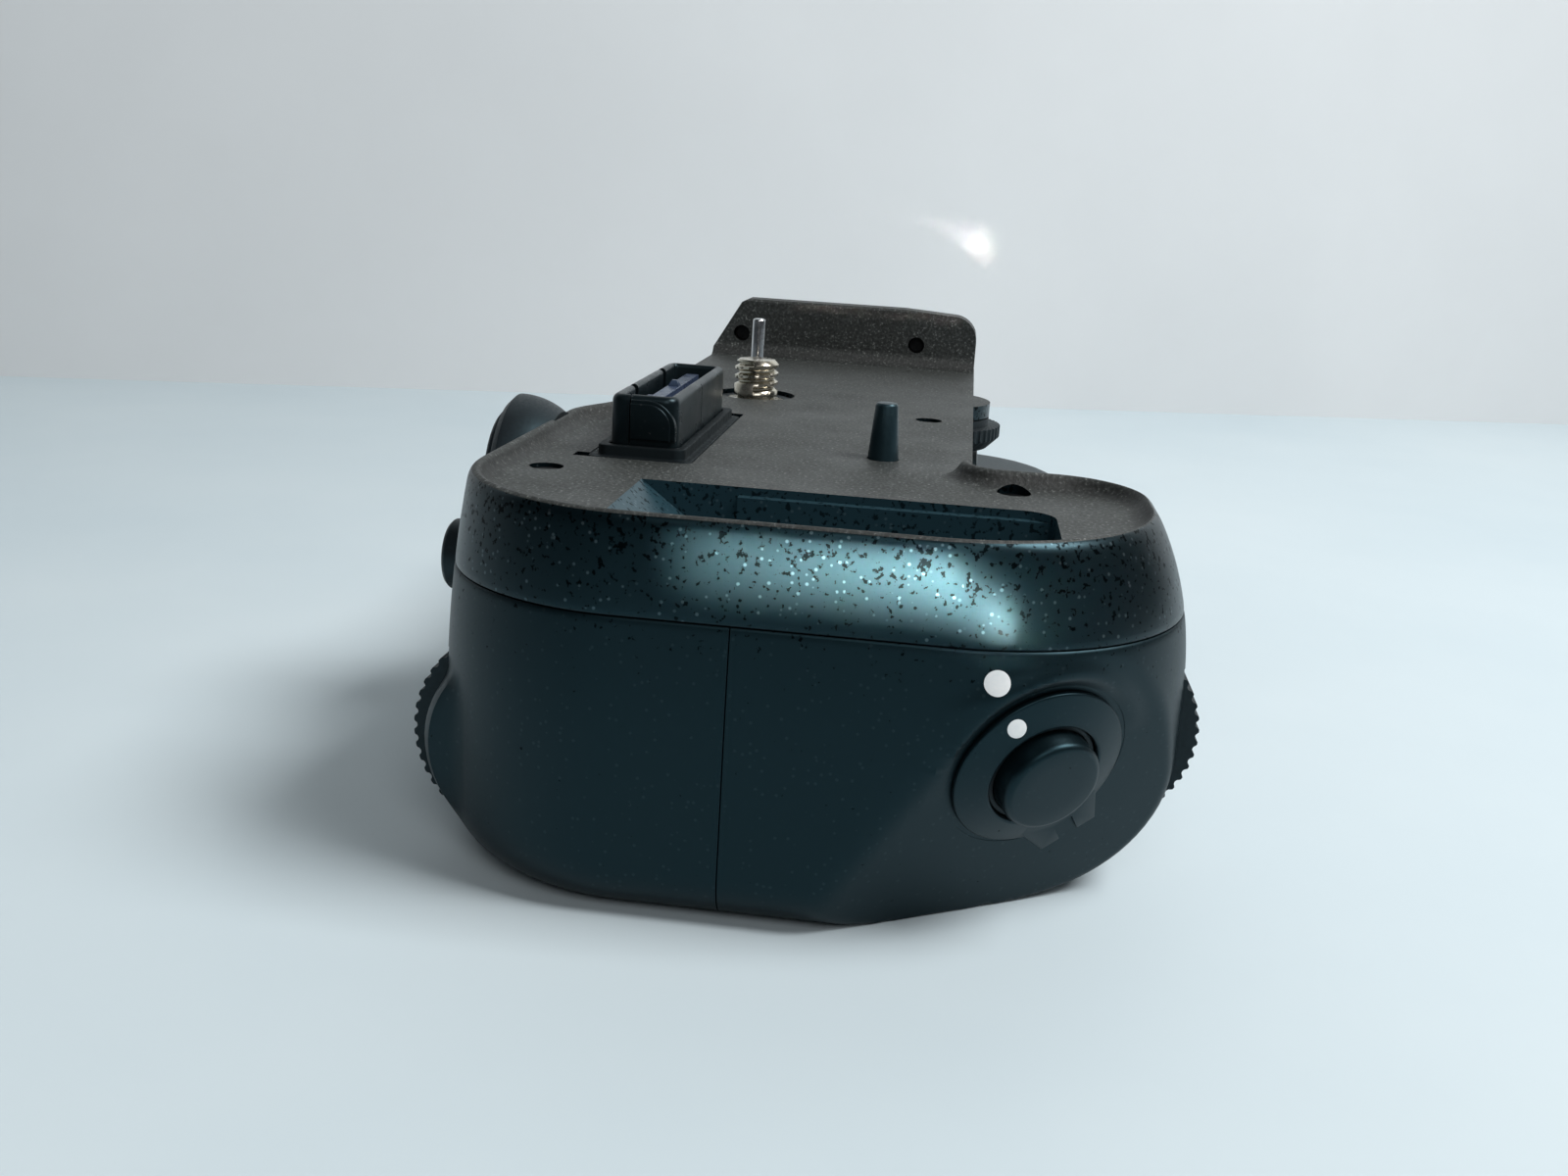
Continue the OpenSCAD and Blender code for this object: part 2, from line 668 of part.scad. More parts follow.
// The rear button slides in a bezel that bridges both casings
thumb_l = 5.6;
thumb_nib = 0.2;
module rear_button() {
    color("#1c1d1f") translate(thumb_at) rotate([-90, 0, 0]) rotate_extrude() polygon([
        [0, 0], [thumb_r - 0.4, 0.1], [thumb_r, 0.5], [thumb_r, thumb_l - thumb_nib],
        [thumb_r - 0.9, thumb_l - thumb_nib], [thumb_r - 0.9, thumb_l], [0, thumb_l]]);
}
bezel_y0 = thumb_floor_y - 0.5;
bezel_y1 = inner_rear_y + bezel_flange_t;
module rear_button_bezel() {
    color("#202124") translate([thumb_at.x, 0, thumb_at.z]) rotate([-90, 0, 0]) difference() {
        union() {
            translate([0, 0, bezel_y0]) cylinder(r = bezel_r, h = bezel_y1 - bezel_y0);
            translate([0, 0, inner_rear_y]) cylinder(r = bezel_flange_r, h = bezel_y1 - inner_rear_y);
        }
        translate([0, 0, bezel_y0 - 1]) cylinder(r = thumb_r + run_gap, h = 20);
    }
}
thumb_board_y = thumb_at.y + thumb_l + thumb_travel + 0.15;
thumb_board_half = 5.8;
module rear_button_board() {
    color("#1d3b2a") translate([thumb_at.x, thumb_board_y, thumb_at.z]) {
        block([-0.8, 0.5, -thumb_board_half], [3.8, 1.5, thumb_board_half]);
        rod_y([0, 0, 0], 1.2, 0.6);
        for (z = [-thumb_board_half, thumb_board_half - 0.9])
            block([0.3, bezel_y1 - thumb_board_y, z], [1.6, 0.6, z + 0.9]);
    }
}

// Selector: a round housing, a gimbal ring on pins along X, and the pad on pins along Z
well_r = pad_r + 0.5;
gimbal_r = 6;
gimbal_w = 1.4;
gimbal_t = 1.8;
gimbal_y = rear_y - 1.2;
gimbal_pin_r = 0.6;
hub_r = 3;
pad_y = selector_at.y - 1;
pad_t = 1.1;
module selector_housing() {
    color("#1b1c1e") difference() {
        union() {
            translate(selector_at) rotate([-90, 0, 0])
                cylinder(r1 = selector_r - selector_edge, r2 = selector_r, h = selector_edge);
            selector_dome();
        }
        rod_y([selector_at.x, selector_at.y - 1, selector_at.z], well_r,
              gimbal_y + gimbal_t / 2 + 1.4 - selector_at.y + 1);
        rod_x([selector_at.x - well_r - 0.8, gimbal_y, selector_at.z], gimbal_pin_r + run_gap,
              2 * well_r + 1.6);
    }
}
module selector_gimbal() {
    color("#3a3b3e") difference() {
        union() {
            rod_y([selector_at.x, gimbal_y - gimbal_t / 2, selector_at.z], gimbal_r, gimbal_t);
            rod_x([selector_at.x - well_r - 0.6, gimbal_y, selector_at.z], gimbal_pin_r, 2 * well_r + 1.2);
        }
        rod_y([selector_at.x, gimbal_y - gimbal_t, selector_at.z], gimbal_r - gimbal_w, 2 * gimbal_t);
        rod_z([selector_at.x, gimbal_y, selector_at.z - through], gimbal_pin_r + run_gap, 2 * through);
    }
}
module selector_pad() {
    color("#17181a") {
        translate([selector_at.x, 0, selector_at.z]) rotate([-90, 0, 0]) rotate_extrude() polygon([
            [0, gimbal_y + gimbal_t / 2], [hub_r, gimbal_y + gimbal_t / 2], [hub_r, pad_y + pad_t],
            [pad_r, pad_y + pad_t], [pad_r, pad_y + 0.4], [pad_r - 0.5, pad_y], [4.4, pad_y + 0.4],
            [3.6, pad_y - 0.2], [0, pad_y - 0.3]]);
        rod_z([selector_at.x, gimbal_y, selector_at.z - gimbal_r + 0.2], gimbal_pin_r, 2 * gimbal_r - 0.4);
    }
}

// Involute gears that carry the wheel's turn to the mounting screw
pressure_angle = 20;
function involute_turn(r, rb) =
    let (t = sqrt(max(pow(r / rb, 2) - 1, 0))) t * 180 / PI - atan(t);
function tooth_half(r, teeth) =
    let (rp = gear_module * teeth / 2, rb = rp * cos(pressure_angle))
    90 / teeth - tooth_play / rp * 90 / PI + involute_turn(rp, rb) - involute_turn(max(r, rb), rb);
function gear_outline(teeth) =
    let (rp = gear_module * teeth / 2,
         levels = [for (k = [-1.15, -0.4, 0, 0.5, 0.9]) rp + k * gear_module])
    [for (i = [0:teeth - 1]) for (side = [-1, 1]) for (k = [0:4])
        let (r = levels[side < 0 ? k : 4 - k], a = i * 360 / teeth + side * tooth_half(r, teeth))
            r * [cos(a), sin(a)]];
module gear(teeth, turn) {
    rotate(turn) linear_extrude(gear_h) polygon(gear_outline(teeth));
}

wheel_at = [wheel_x, plate_front_y + wheel_proud - wheel_r];
wheel_mesh = gear_module * (wheel_teeth + idler_teeth) / 2;
screw_mesh = gear_module * (screw_teeth + idler_teeth) / 2;
// The idler's axis lies where the two mesh distances from the screw and the wheel meet
axis_gap = norm(wheel_at);
axis_dir = wheel_at / axis_gap;
idler_along = (screw_mesh * screw_mesh - wheel_mesh * wheel_mesh + axis_gap * axis_gap) / (2 * axis_gap);
idler_off = sqrt(screw_mesh * screw_mesh - idler_along * idler_along);
idler_at = axis_dir * idler_along + [axis_dir.y, -axis_dir.x] * idler_off;
// Each gear is turned so that its tooth meets a gap of the next one
to_idler = atan2(idler_at.y - wheel_at.y, idler_at.x - wheel_at.x);
to_screw = atan2(-idler_at.y, -idler_at.x);
wheel_turn = to_idler;
idler_turn = to_idler + 180 + 180 / idler_teeth;
idler_phase = (to_screw - idler_turn) * idler_teeth / 360;
screw_turn = to_screw + 180 + 180 / screw_teeth + (idler_phase - floor(idler_phase)) * 360 / screw_teeth;

gear_z = chamber_z1 + 1.8;
train_axle_r = 1.5;
axle_foot_z = chamber_z1 - chamber_wall;
wheel_z0 = seam_z + 0.9;
wheel_z1 = plate_under_z - 0.2;
collar_h = 1.1;
collar_r = wheel_r - 1.8;
wheel_bevel = 1.7;
wheel_ridges = 56;
module attachment_wheel() {
    color("#1a1b1d") translate([wheel_at.x, wheel_at.y, 0]) difference() {
        union() {
            translate([0, 0, gear_z]) gear(wheel_teeth, wheel_turn);
            translate([0, 0, gear_z + gear_h - 0.1]) cylinder(r = 4, h = wheel_z0 - gear_z - gear_h + 0.2);
            intersection() {
                translate([0, 0, wheel_z0]) linear_extrude(wheel_z1 - collar_h - wheel_z0) difference() {
                    circle(wheel_r);
                    for (i = [0:wheel_ridges - 1])
                        rotate(i * 360 / wheel_ridges) translate([wheel_r + 0.15, 0]) circle(0.42, $fn = 24);
                }
                translate([0, 0, wheel_z0])
                    cylinder(r1 = wheel_r - wheel_bevel, r2 = wheel_r + wheel_bevel, h = 2 * wheel_bevel);
            }
            translate([0, 0, wheel_z1 - collar_h - 0.1]) cylinder(r = collar_r, h = collar_h + 0.1);
        }
        cylinder(r = train_axle_r + run_gap, h = through);
    }
}
module wheel_axle() {
    color("#b9bcc0")
        rod_z([wheel_at.x, wheel_at.y, axle_foot_z], train_axle_r, plate_under_z + 0.8 - axle_foot_z);
}
module idler_gear() {
    color("#c9b27a") translate([idler_at.x, idler_at.y, gear_z]) difference() {
        union() {
            gear(idler_teeth, idler_turn);
            cylinder(r = 3.4, h = gear_h + 0.6);
        }
        translate([0, 0, -1]) cylinder(r = train_axle_r + run_gap, h = 10);
    }
}
module idler_axle() {
    color("#b9bcc0")
        rod_z([idler_at.x, idler_at.y, axle_foot_z], train_axle_r, plate_under_z + 0.8 - axle_foot_z);
}

// The mounting screw turns in a bush under the plate, with its gear below and its thread above
journal_r = 4;
bush_wall = 1.6;
plate_bush_r = journal_r + bush_wall;
bush_z0 = plate_under_z - 1.4;
bush_z1 = plate_z - 0.6;
screw_foot_r = 2;
module mounting_screw() {
    color("#c8bfa6") {
        translate([0, 0, gear_z]) gear(screw_teeth, screw_turn);
        rod_z([0, 0, chamber_z1 - chamber_wall + 0.2], screw_foot_r, gear_z - chamber_z1 + chamber_wall);
        rod_z([0, 0, gear_z + gear_h - 0.2], journal_r - 0.8, bush_z0 - gear_z - gear_h + 0.3);
        rod_z([0, 0, bush_z0 - 0.6], journal_r + 1, 0.5);
        rod_z([0, 0, bush_z0 - 0.2], journal_r, bush_z1 - bush_z0 + 0.2);
        rod_z([0, 0, bush_z1 - 0.1], screw_r - 0.5, plate_z - bush_z1 + 0.2);
        rod_z([0, 0, plate_z], screw_r, screw_h - 0.6);
        translate([0, 0, plate_z + screw_h - 0.6]) cylinder(r1 = screw_r, r2 = screw_r - 0.6, h = 0.6);
    }
}
module screw_bush() {
    color("#2b2b2d") difference() {
        union() {
            rod_z([0, 0, bush_z0], plate_bush_r, bush_z1 - bush_z0);
            rod_z([0, 0, bush_z0], plate_bush_r + 1.4, plate_under_z - bush_z0);
        }
        rod_z([0, 0, bush_z0 - 1], journal_r + run_gap, 10);
    }
}

peg_top_r = peg_r - 0.5;
spigot_l = plate_t + 0.8;
module locating_pin() {
    color("#d2d4d6") translate([pin_at.x, pin_at.y, 0]) {
        rod_z([0, 0, plate_z - spigot_l], pin_r + 0.25, spigot_l);
        rod_z([0, 0, plate_z - 0.1], pin_r, pin_h - 0.2);
        translate([0, 0, plate_z + pin_h - 0.3]) cylinder(r1 = pin_r, r2 = pin_r - 0.3, h = 0.3);
    }
}
module locating_peg() {
    color("#141517") translate([peg_at.x, peg_at.y, plate_z]) {
        translate([0, 0, -spigot_l]) cylinder(r = peg_r, h = spigot_l + 0.01);
        cylinder(r1 = peg_r, r2 = peg_top_r, h = peg_h - 0.5);
        translate([0, 0, peg_h - 0.5]) cylinder(r1 = peg_top_r, r2 = peg_top_r - 0.4, h = 0.5);
    }
}

// Signal connector on the main board, in a rubber seal let into the plate
board_t = 1.2;
board_z1 = plate_under_z - 1.5;
board_z0 = board_z1 - board_t;
connector_p = connector_at - [connector_l, connector_w] / 2;
connector_q = connector_at + [connector_l, connector_w] / 2;
connector_top = plate_z + connector_h;
connector_floor = plate_z + 0.4;
module connector_outline(more) {
    round_rect(connector_p - [more, more], connector_q + [more, more], 1.2);
}
module connector_housing() {
    notch = 1.6;
    key_w = 4.8;
    key_t = 0.45;
    color("#0e0f11") difference() {
        union() {
            translate([0, 0, board_z1]) linear_extrude(connector_top - board_z1) connector_outline(0);
            block([connector_q.x - 1, connector_q.y - 0.4 - key_w, plate_z + seal_h + 0.8],
                  [connector_q.x + key_t, connector_q.y - 0.4, connector_top - 0.6]);
        }
        translate([0, 0, connector_floor]) linear_extrude(connector_h + 1) connector_outline(-connector_wall);
        for (x = [connector_p.x + 7, connector_q.x - 9])
            translate([x, connector_p.y - 0.1, connector_top - 2.4]) cube([notch, connector_wall + 0.3, 3]);
        translate([connector_at.x + 0.8, connector_q.y - 0.2, plate_z + seal_h]) cube([0.2, 1, connector_h]);
    }
}
contact_rows = 12;
module connector_contacts() {
    tongue_w = 1.6;
    inner_l = connector_l - 2 * connector_wall - 3;
    pitch = inner_l / contact_rows;
    color("#2a3242") {
        translate([connector_at.x - inner_l / 2, connector_at.y - tongue_w / 2, connector_floor])
            cube([inner_l, tongue_w, connector_h - 1.4]);
        for (i = [0:contact_rows - 1])
            translate([connector_at.x - inner_l / 2 + (i + 0.25) * pitch,
                       connector_at.y - tongue_w / 2 - 0.25, connector_floor])
                cube([pitch / 2, tongue_w + 0.5, connector_h - 2.2]);
    }
}
module connector_seal() {
    color("#111213") difference() {
        union() {
            translate([0, 0, plate_under_z]) linear_extrude(plate_t + 0.05) connector_outline(seal_w);
            translate([0, 0, plate_z]) linear_extrude(seal_h) connector_outline(seal_w - 0.9);
        }
        translate([0, 0, plate_under_z - 1]) linear_extrude(20) connector_outline(seat_gap);
    }
}

// Upper casing: camera plate, rim, cap pocket, raised far wall and the painted band
pocket_x0 = near_x - pocket_back;
pocket_x1 = pocket_x0 + pocket_w;
pocket_wall = 1.6;
pocket_z = plate_z - pocket_d;
pocket_r = 3;
rib_t = 1.2;
rib_y0 = pocket_y0 + 10.2;
module pocket_outline(more) {
    x0 = pocket_x0 - more;
    x1 = pocket_x1 + more;
    y1 = pocket_y1 + more;
    r = pocket_r + more;
    translate([x0, pocket_y0 - more]) square([x1 - x0, y1 - r - pocket_y0 + more]);
    translate([x0 + r, y1 - 2 * r]) square([x1 - x0 - 2 * r, 2 * r]);
    for (x = [x0 + r, x1 - r])
        translate([x, y1 - r]) circle(r);
}
// A well with a ramp at its rear end and a rib left standing along its far side
module cap_pocket() {
    difference() {
        intersection() {
            translate([0, 0, pocket_z]) linear_extrude(pocket_d + 1) pocket_outline(0);
            push_x(pocket_x0 - 1, pocket_x1 + 1)
                polygon([[pocket_y0, plate_z + 2], [pocket_y0, plate_z],
                         [pocket_y0 + pocket_ramp, pocket_z - 0.01], [pocket_y1 + 1, pocket_z - 0.01],
                         [pocket_y1 + 1, plate_z + 2]]);
        }
        block([pocket_x0 - 1, rib_y0, pocket_z - 1], [pocket_x0 + rib_t, pocket_y1 + 1, plate_z - rib_drop]);
    }
}
far_wall_x = far_x + 12;
far_wall_z = plate_z + far_wall_h;
far_wall_foot = 2.5;
module far_wall() {
    y0 = plate_rear_y + 0.1;
    y1 = plate_front_y - 0.1;
    intersection() {
        push_x(far_x, far_wall_x + far_wall_foot) union() {
            polygon([[y0, plate_z - 1.5], [y1, plate_z - 1.5], [y1, far_wall_z - 4.6],
                     [y1 - 4, far_wall_z - 0.8], [y1 - 14, far_wall_z], [y0 + 6, far_wall_z],
                     [y0 + 4.4, far_wall_z - 0.6], [y0, plate_z + 1.4]]);
            translate([y1 - 4, far_wall_z - 4.8]) circle(4);
        }
        translate([0, through, 0]) rotate([90, 0, 0]) linear_extrude(2 * through) difference() {
            polygon([[far_x + 0.3, plate_z - 2], [far_wall_x + far_wall_foot, plate_z - 2],
                     [far_wall_x + far_wall_foot, plate_z], [far_wall_x, plate_z + far_wall_foot],
                     [far_wall_x, far_wall_z + 1], [far_wall_x - far_wall_t, far_wall_z + 1],
                     [far_wall_x - far_wall_t, far_wall_z - 1], [far_x + 0.3, plate_z + 1]]);
            translate([far_wall_x + far_wall_foot, plate_z + far_wall_foot]) circle(far_wall_foot);
        }
    }
}
wall_screw_ys = [plate_rear_y + 5, plate_front_y - 10.4];
wall_screw_z = plate_z + 4;
wall_screw_in = 3;
wall_hole_r = 1.4;
board_post_r = 1.8;
post_in = 4;
board_x0 = chamber_screw_at.x + 4;
board_x1 = bulge_x + 4.4;
board_y0 = plate_rear_y + 3;
board_y1 = plate_front_y - 12.7;
board_posts = [
    [board_x0 + post_in, board_y1 - post_in], [board_x1 - post_in, board_y1 - post_in],
    [board_x0 + post_in, board_y0 + 3]];

module plate_cuts() {
    translate([0, 0, plate_under_z - 1]) linear_extrude(plate_t + 2) connector_outline(seal_w + seat_gap);
    rod_z([0, 0, plate_under_z - 1], plate_bush_r + seat_gap, 10);
    rod_z([pin_at.x, pin_at.y, plate_under_z - 1], pin_r + 0.25 + seat_gap, 10);
    rod_z([peg_at.x, peg_at.y, plate_under_z - 1], peg_r + seat_gap, 10);
    for (p = plate_screw_spots) {
        rod_z([p.x, p.y, seam_z - 1], bolt_r + seat_gap, band_h + 2);
        rod_z([p.x, p.y, plate_z - bolt_head_h - 0.2], head_room_r, 10);
    }
    for (p = [wheel_at, idler_at])
        rod_z([p.x, p.y, plate_under_z - 1], train_axle_r + seat_gap, 1.9);
    for (y = wall_screw_ys)
        rod_x([far_wall_x - wall_screw_in, y, wall_screw_z], wall_hole_r, 3 * wall_screw_in);
}
module top_casing() {
    color("#222326") difference() {
        union() {
            difference() {
                upper_form();
                translate([0, 0, plate_z]) linear_extrude(20) polygon(upper(plate_z, rim_t));
                block([far_x - 5, rear_y - 10, plate_z], [step_x0, front_y + 10, plate_z + 20]);
                block([far_x - 5, plate_front_y - 2.4, plate_z],
                      [bulge_x - bulge_fillet_r, front_y, plate_z + 20]);
            }
            far_wall();
            rod_z([wheel_at.x, wheel_at.y, plate_under_z], collar_r, plate_t);
        }
        difference() {
            translate([0, 0, seam_z - 1])
                linear_extrude(plate_under_z - seam_z + 1) polygon(upper(plate_z, wall));
            translate([0, 0, pocket_z - pocket_wall]) linear_extrude(20) pocket_outline(pocket_wall);
            for (p = board_posts)
                rod_z([p.x, p.y, board_z1], board_post_r, 10);
            for (p = [rear_post_at, front_post_at])
                rod_z([p.x, p.y, seam_z], post_r, band_h);
        }
        cap_pocket();
        plate_cuts();
        rear_seats();
        rod_z([wheel_at.x, wheel_at.y, seam_z - 1], wheel_r + free_gap, plate_under_z - seam_z + 1);
    }
}

// Main board under the plate, against its posts, with two chips on its underside
chip_l = 10;
chip_h = 1.2;
module chip(x) {
    chip_y1 = board_y1 - chip_l * 0.3;
    block([x, chip_y1 - chip_l, board_z0 - chip_h], [x + chip_l, chip_y1, board_z0]);
}
module main_board() {
    color("#1d3b2a") {
        block([board_x0, board_y0, board_z0], [board_x1, board_y1, board_z1]);
        chip(board_x0 + chip_l / 2);
        chip(board_x1 - chip_l * 1.6);
    }
}

// Battery chamber: a tube of rounded section, closed at the shutter end, which is also the chassis
tray_y0 = chamber_y0 + chamber_wall + tray_gap;
tray_z0 = chamber_z0 + chamber_wall + tray_gap;
function cell_y(i) = tray_y0 + tray_wall + cell_d * (i + 0.5);
latch_y = (chamber_y0 + chamber_y1) / 2;
latch_drop = 5.2;
latch_z = chamber_z1 - latch_drop;
tongue_half_w = 1.4;
module battery_chamber() {
    inner_y0 = chamber_y0 + chamber_wall;
    inner_y1 = chamber_y1 - chamber_wall;
    inner_z0 = chamber_z0 + chamber_wall;
    inner_z1 = chamber_z1 - chamber_wall;
    color("#2a2b2e") difference() {
        union() {
            push_x(chamber_x0, chamber_x1)
                round_rect([chamber_y0, chamber_z0], [chamber_y1, chamber_z1], chamber_r);
            for (p = base_bolt_spots)
                rod_z([p.x, p.y, wall], foot_r, chamber_z0 - wall + 0.5);
            rod_z([chamber_screw_at.x, chamber_screw_at.y, chamber_z1 - 0.5], post_r,
                  plate_under_z - chamber_z1 + 0.5);
            for (p = [wheel_at, idler_at])
                rod_z([p.x, p.y, chamber_z1 - 0.5], train_axle_r + 1.3, 1.8);
        }
        push_x(chamber_x0 - 1, chamber_x1 - chamber_wall)
            round_rect([inner_y0, inner_z0], [inner_y1, inner_z1], chamber_r - chamber_wall);
        for (p = base_bolt_spots)
            rod_z([p.x, p.y, 0], bolt_r + seat_gap, chamber_z0 - 0.1);
        rod_z([chamber_screw_at.x, chamber_screw_at.y, plate_z - bolt_head_h - bolt_l - 0.5],
              bolt_r + seat_gap, bolt_l + plate_z);
        for (p = [wheel_at, idler_at])
            rod_z([p.x, p.y, chamber_z1 - 2 * chamber_wall], train_axle_r + seat_gap, plate_z - chamber_z1);
        rod_z([0, 0, chamber_z1 - 2 * chamber_wall], screw_foot_r + run_gap, plate_z - chamber_z1);
        for (i = [0:cells_across - 1])
            rod_x([chamber_x1 - 2 * chamber_wall, cell_y(i), tray_z0 + tray_h / 2],
                  contact_stud_r + seat_gap, 3 * chamber_wall);
    }
}
contact_stud_r = 1;
contact_face_r = 3.2;
module chamber_contacts() {
    color("#c9a24a") for (i = [0:cells_across - 1])
        translate([0, cell_y(i), tray_z0 + tray_h / 2]) {
            rod_x([chamber_x1 - chamber_wall - 0.8, 0, 0], contact_face_r, 0.8);
            rod_x([chamber_x1 - chamber_wall - 0.1, 0, 0], contact_stud_r, chamber_wall + 1.2);
        }
}

// Tray: floor with round channels for the cells, low ribs, side and cross walls
tray_y1 = tray_y0 + tray_w;
tray_x1 = tray_x0 + tray_l;
side_h = tray_h * 0.62;
module battery_tray() {
    color("#1e1f21") difference() {
        intersection() {
            union() {
                block([tray_x0, tray_y0, tray_z0], [tray_x1, tray_y1, tray_z0 + side_h]);
                for (k = [0:cells_along]) let (x = tray_x0 + k * (cell_l + tray_floor))
                    block([x, tray_y0, tray_z0], [x + tray_floor, tray_y1, tray_z0 + tray_h]);
            }
            push_x(tray_x0 - 1, tray_x1 + 1)
                round_rect([tray_y0, tray_z0], [tray_y1, tray_z0 + tray_h], chamber_r - chamber_wall + 0.4);
        }
        for (k = [0:cells_along - 1])
            let (x = tray_x0 + tray_floor + k * (cell_l + tray_floor)) {
                for (i = [0:cells_across - 1])
                    rod_x([x, cell_y(i), tray_z0 + tray_floor + cell_d / 2], cell_d / 2, cell_l);
                block([x, tray_y0 + tray_wall + cell_d / 2, tray_z0 + tray_floor + cell_d * 0.28],
                      [x + cell_l, tray_y1 - tray_wall - cell_d / 2, tray_z0 + tray_h]);
            }
        for (i = [0:cells_across - 1])
            rod_x([tray_x1 - tray_floor - 1, cell_y(i), tray_z0 + tray_h / 2],
                  contact_stud_r + seat_gap, 4);
    }
}
module tray_contacts() {
    color("#c9a24a") for (i = [0:cells_across - 1])
        translate([0, cell_y(i), tray_z0 + tray_h / 2]) {
            rod_x([tray_x1 - tray_floor - 0.5, 0, 0], contact_face_r, 0.5);
            rod_x([tray_x1 - tray_floor - 0.1, 0, 0], contact_stud_r, tray_floor + 0.5);
        }
}

// End cover: fixed to the tray, with the turning latch let into it
cover_x0 = far_x - cover_t;
cover_x1 = far_x - 0.05;
cover_y0 = rear_y + 1.4;
cover_y1 = shoulder_y - 1;
cover_z0 = 2;
cover_z1 = seam_z - 2.6;
latch_r = 6.6;
latch_shaft_r = 2;
knob_x1 = cover_x0 + 1.1;
module end_cover() {
    color("#1b1c1e") difference() {
        union() {
            push_x(cover_x0, cover_x1) round_rect([cover_y0, cover_z0], [cover_y1, cover_z1], 6);
            push_x(cover_x1 - 0.2, tray_x0) round_rect([tray_y0, tray_z0], [tray_y1, tray_z0 + tray_h], 2.5);
        }
        push_x(far_x + 0.8, tray_x0 + 1)
            round_rect([tray_y0 + 1.6, tray_z0 + 1.6], [tray_y1 - 1.6, tray_z0 + tray_h - 1.6], 1);
        block([far_x + wall + 0.05, latch_y - 9, latch_z - tongue_half_w - 0.4],
              [tray_x0 + 1, latch_y + 9, tray_z0 + tray_h + 1]);
        rod_x([cover_x0 - 1, latch_y, latch_z], latch_r + free_gap, 1 + knob_x1 + free_gap - cover_x0);
        rod_x([cover_x0 - 1, latch_y, latch_z], latch_shaft_r + run_gap, 20);
    }
}
tongue_x0 = far_x + wall + 0.3;
tongue_x1 = chamber_x0 - 0.3;
tongue_l = latch_drop + 3;
module cover_latch() {
    color("#202124") {
        difference() {
            rod_x([cover_x0 + 0.1, latch_y, latch_z], latch_r, knob_x1 - cover_x0 - 0.1);
            for (side = [-1, 1])
                translate([cover_x0 - 1, latch_y - 8, latch_z + side * 3.2 - 1.9]) cube([1.7, 16, 3.8]);
        }
        rod_x([knob_x1 - 0.1, latch_y, latch_z], latch_shaft_r, tongue_x1 - knob_x1 + 0.1);
        block([tongue_x0, latch_y - 2.2, latch_z - tongue_half_w],
              [tongue_x1, latch_y + tongue_l, latch_z + tongue_half_w]);
    }
}

// Tripod socket: a threaded bush with a flange on the casing floor
socket_barrel_r = 5.6;
socket_flange_r = 9;
module tripod_socket() {
    color("#b4b6b8") difference() {
        union() {
            cylinder(r = socket_barrel_r, h = socket_h);
            translate([0, 0, wall]) cylinder(r = socket_flange_r, h = 1.6);
        }
        translate([0, 0, -1]) cylinder(r = socket_r, h = socket_depth + 1);
    }
}

// Screws
module bolt(r, head_r, head_h, l) {
    cylinder(r = head_r, h = head_h);
    translate([0, 0, -l]) cylinder(r = r, h = l + 0.1);
}
module plate_screws() {
    color("#55585c") for (p = plate_screw_spots)
        translate([p.x, p.y, plate_z - bolt_head_h - 0.2])
            bolt(bolt_r, bolt_head_r, bolt_head_h - 0.2, bolt_l);
}
module wall_screws() {
    color("#55585c") for (y = wall_screw_ys)
        rod_x([far_wall_x - wall_screw_in, y, wall_screw_z], wall_hole_r - seat_gap, wall_screw_in / 2);
}
module base_screws() {
    color("#55585c") for (p = base_bolt_spots)
        translate([p.x, p.y, bolt_head_h + 0.2]) mirror([0, 0, 1])
            bolt(bolt_r, bolt_head_r + 0.3, bolt_head_h, chamber_z0 - bolt_head_h - 0.8);
}

rear_casing();
front_casing();
top_casing();
grip_rubber();
shutter_lock_ring();
shutter_button();
shutter_bush();
shutter_board();
main_dial();
main_dial_axle();
sub_dial();
sub_dial_axle();
rear_button();
rear_button_bezel();
rear_button_board();
selector_housing();
selector_gimbal();
selector_pad();
attachment_wheel();
wheel_axle();
idler_gear();
idler_axle();
mounting_screw();
screw_bush();
locating_pin();
locating_peg();
connector_housing();
connector_contacts();
connector_seal();
tripod_socket();
battery_chamber();
chamber_contacts();
battery_tray();
tray_contacts();
end_cover();
cover_latch();
main_board();
plate_screws();
wall_screws();
base_screws();
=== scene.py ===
import math

import bmesh
import bpy
from mathutils import Matrix, Vector


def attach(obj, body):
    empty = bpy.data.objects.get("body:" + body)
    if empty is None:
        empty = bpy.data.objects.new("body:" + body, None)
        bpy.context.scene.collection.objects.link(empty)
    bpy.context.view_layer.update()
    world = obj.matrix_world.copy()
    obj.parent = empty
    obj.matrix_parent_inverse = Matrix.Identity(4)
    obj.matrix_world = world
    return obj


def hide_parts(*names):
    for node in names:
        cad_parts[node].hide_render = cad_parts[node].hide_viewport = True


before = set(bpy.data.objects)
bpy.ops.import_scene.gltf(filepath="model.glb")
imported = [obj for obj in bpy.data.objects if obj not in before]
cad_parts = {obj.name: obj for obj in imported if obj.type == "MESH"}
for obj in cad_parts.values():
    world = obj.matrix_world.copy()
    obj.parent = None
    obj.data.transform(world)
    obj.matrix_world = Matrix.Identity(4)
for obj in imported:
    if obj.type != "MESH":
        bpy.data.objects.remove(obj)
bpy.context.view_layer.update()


# Lower casings: two black moulded shells that meet at an upright seam at the shutter end.
# They carry the dials, the rear button and the slanted facet of the shutter release,
# and are screwed to the battery chamber inside and to the plate above.
mm = 0.001
wall = 2.0
seam_z = 29.0
plate_z = 36.5
belly_z = 16.0
shoulder_z, shoulder_rise = 14.0, 6.5
near_x, far_x = 92.0, -58.0
rear_y, hold_y, front_y = -19.7, 50.3, 54.0
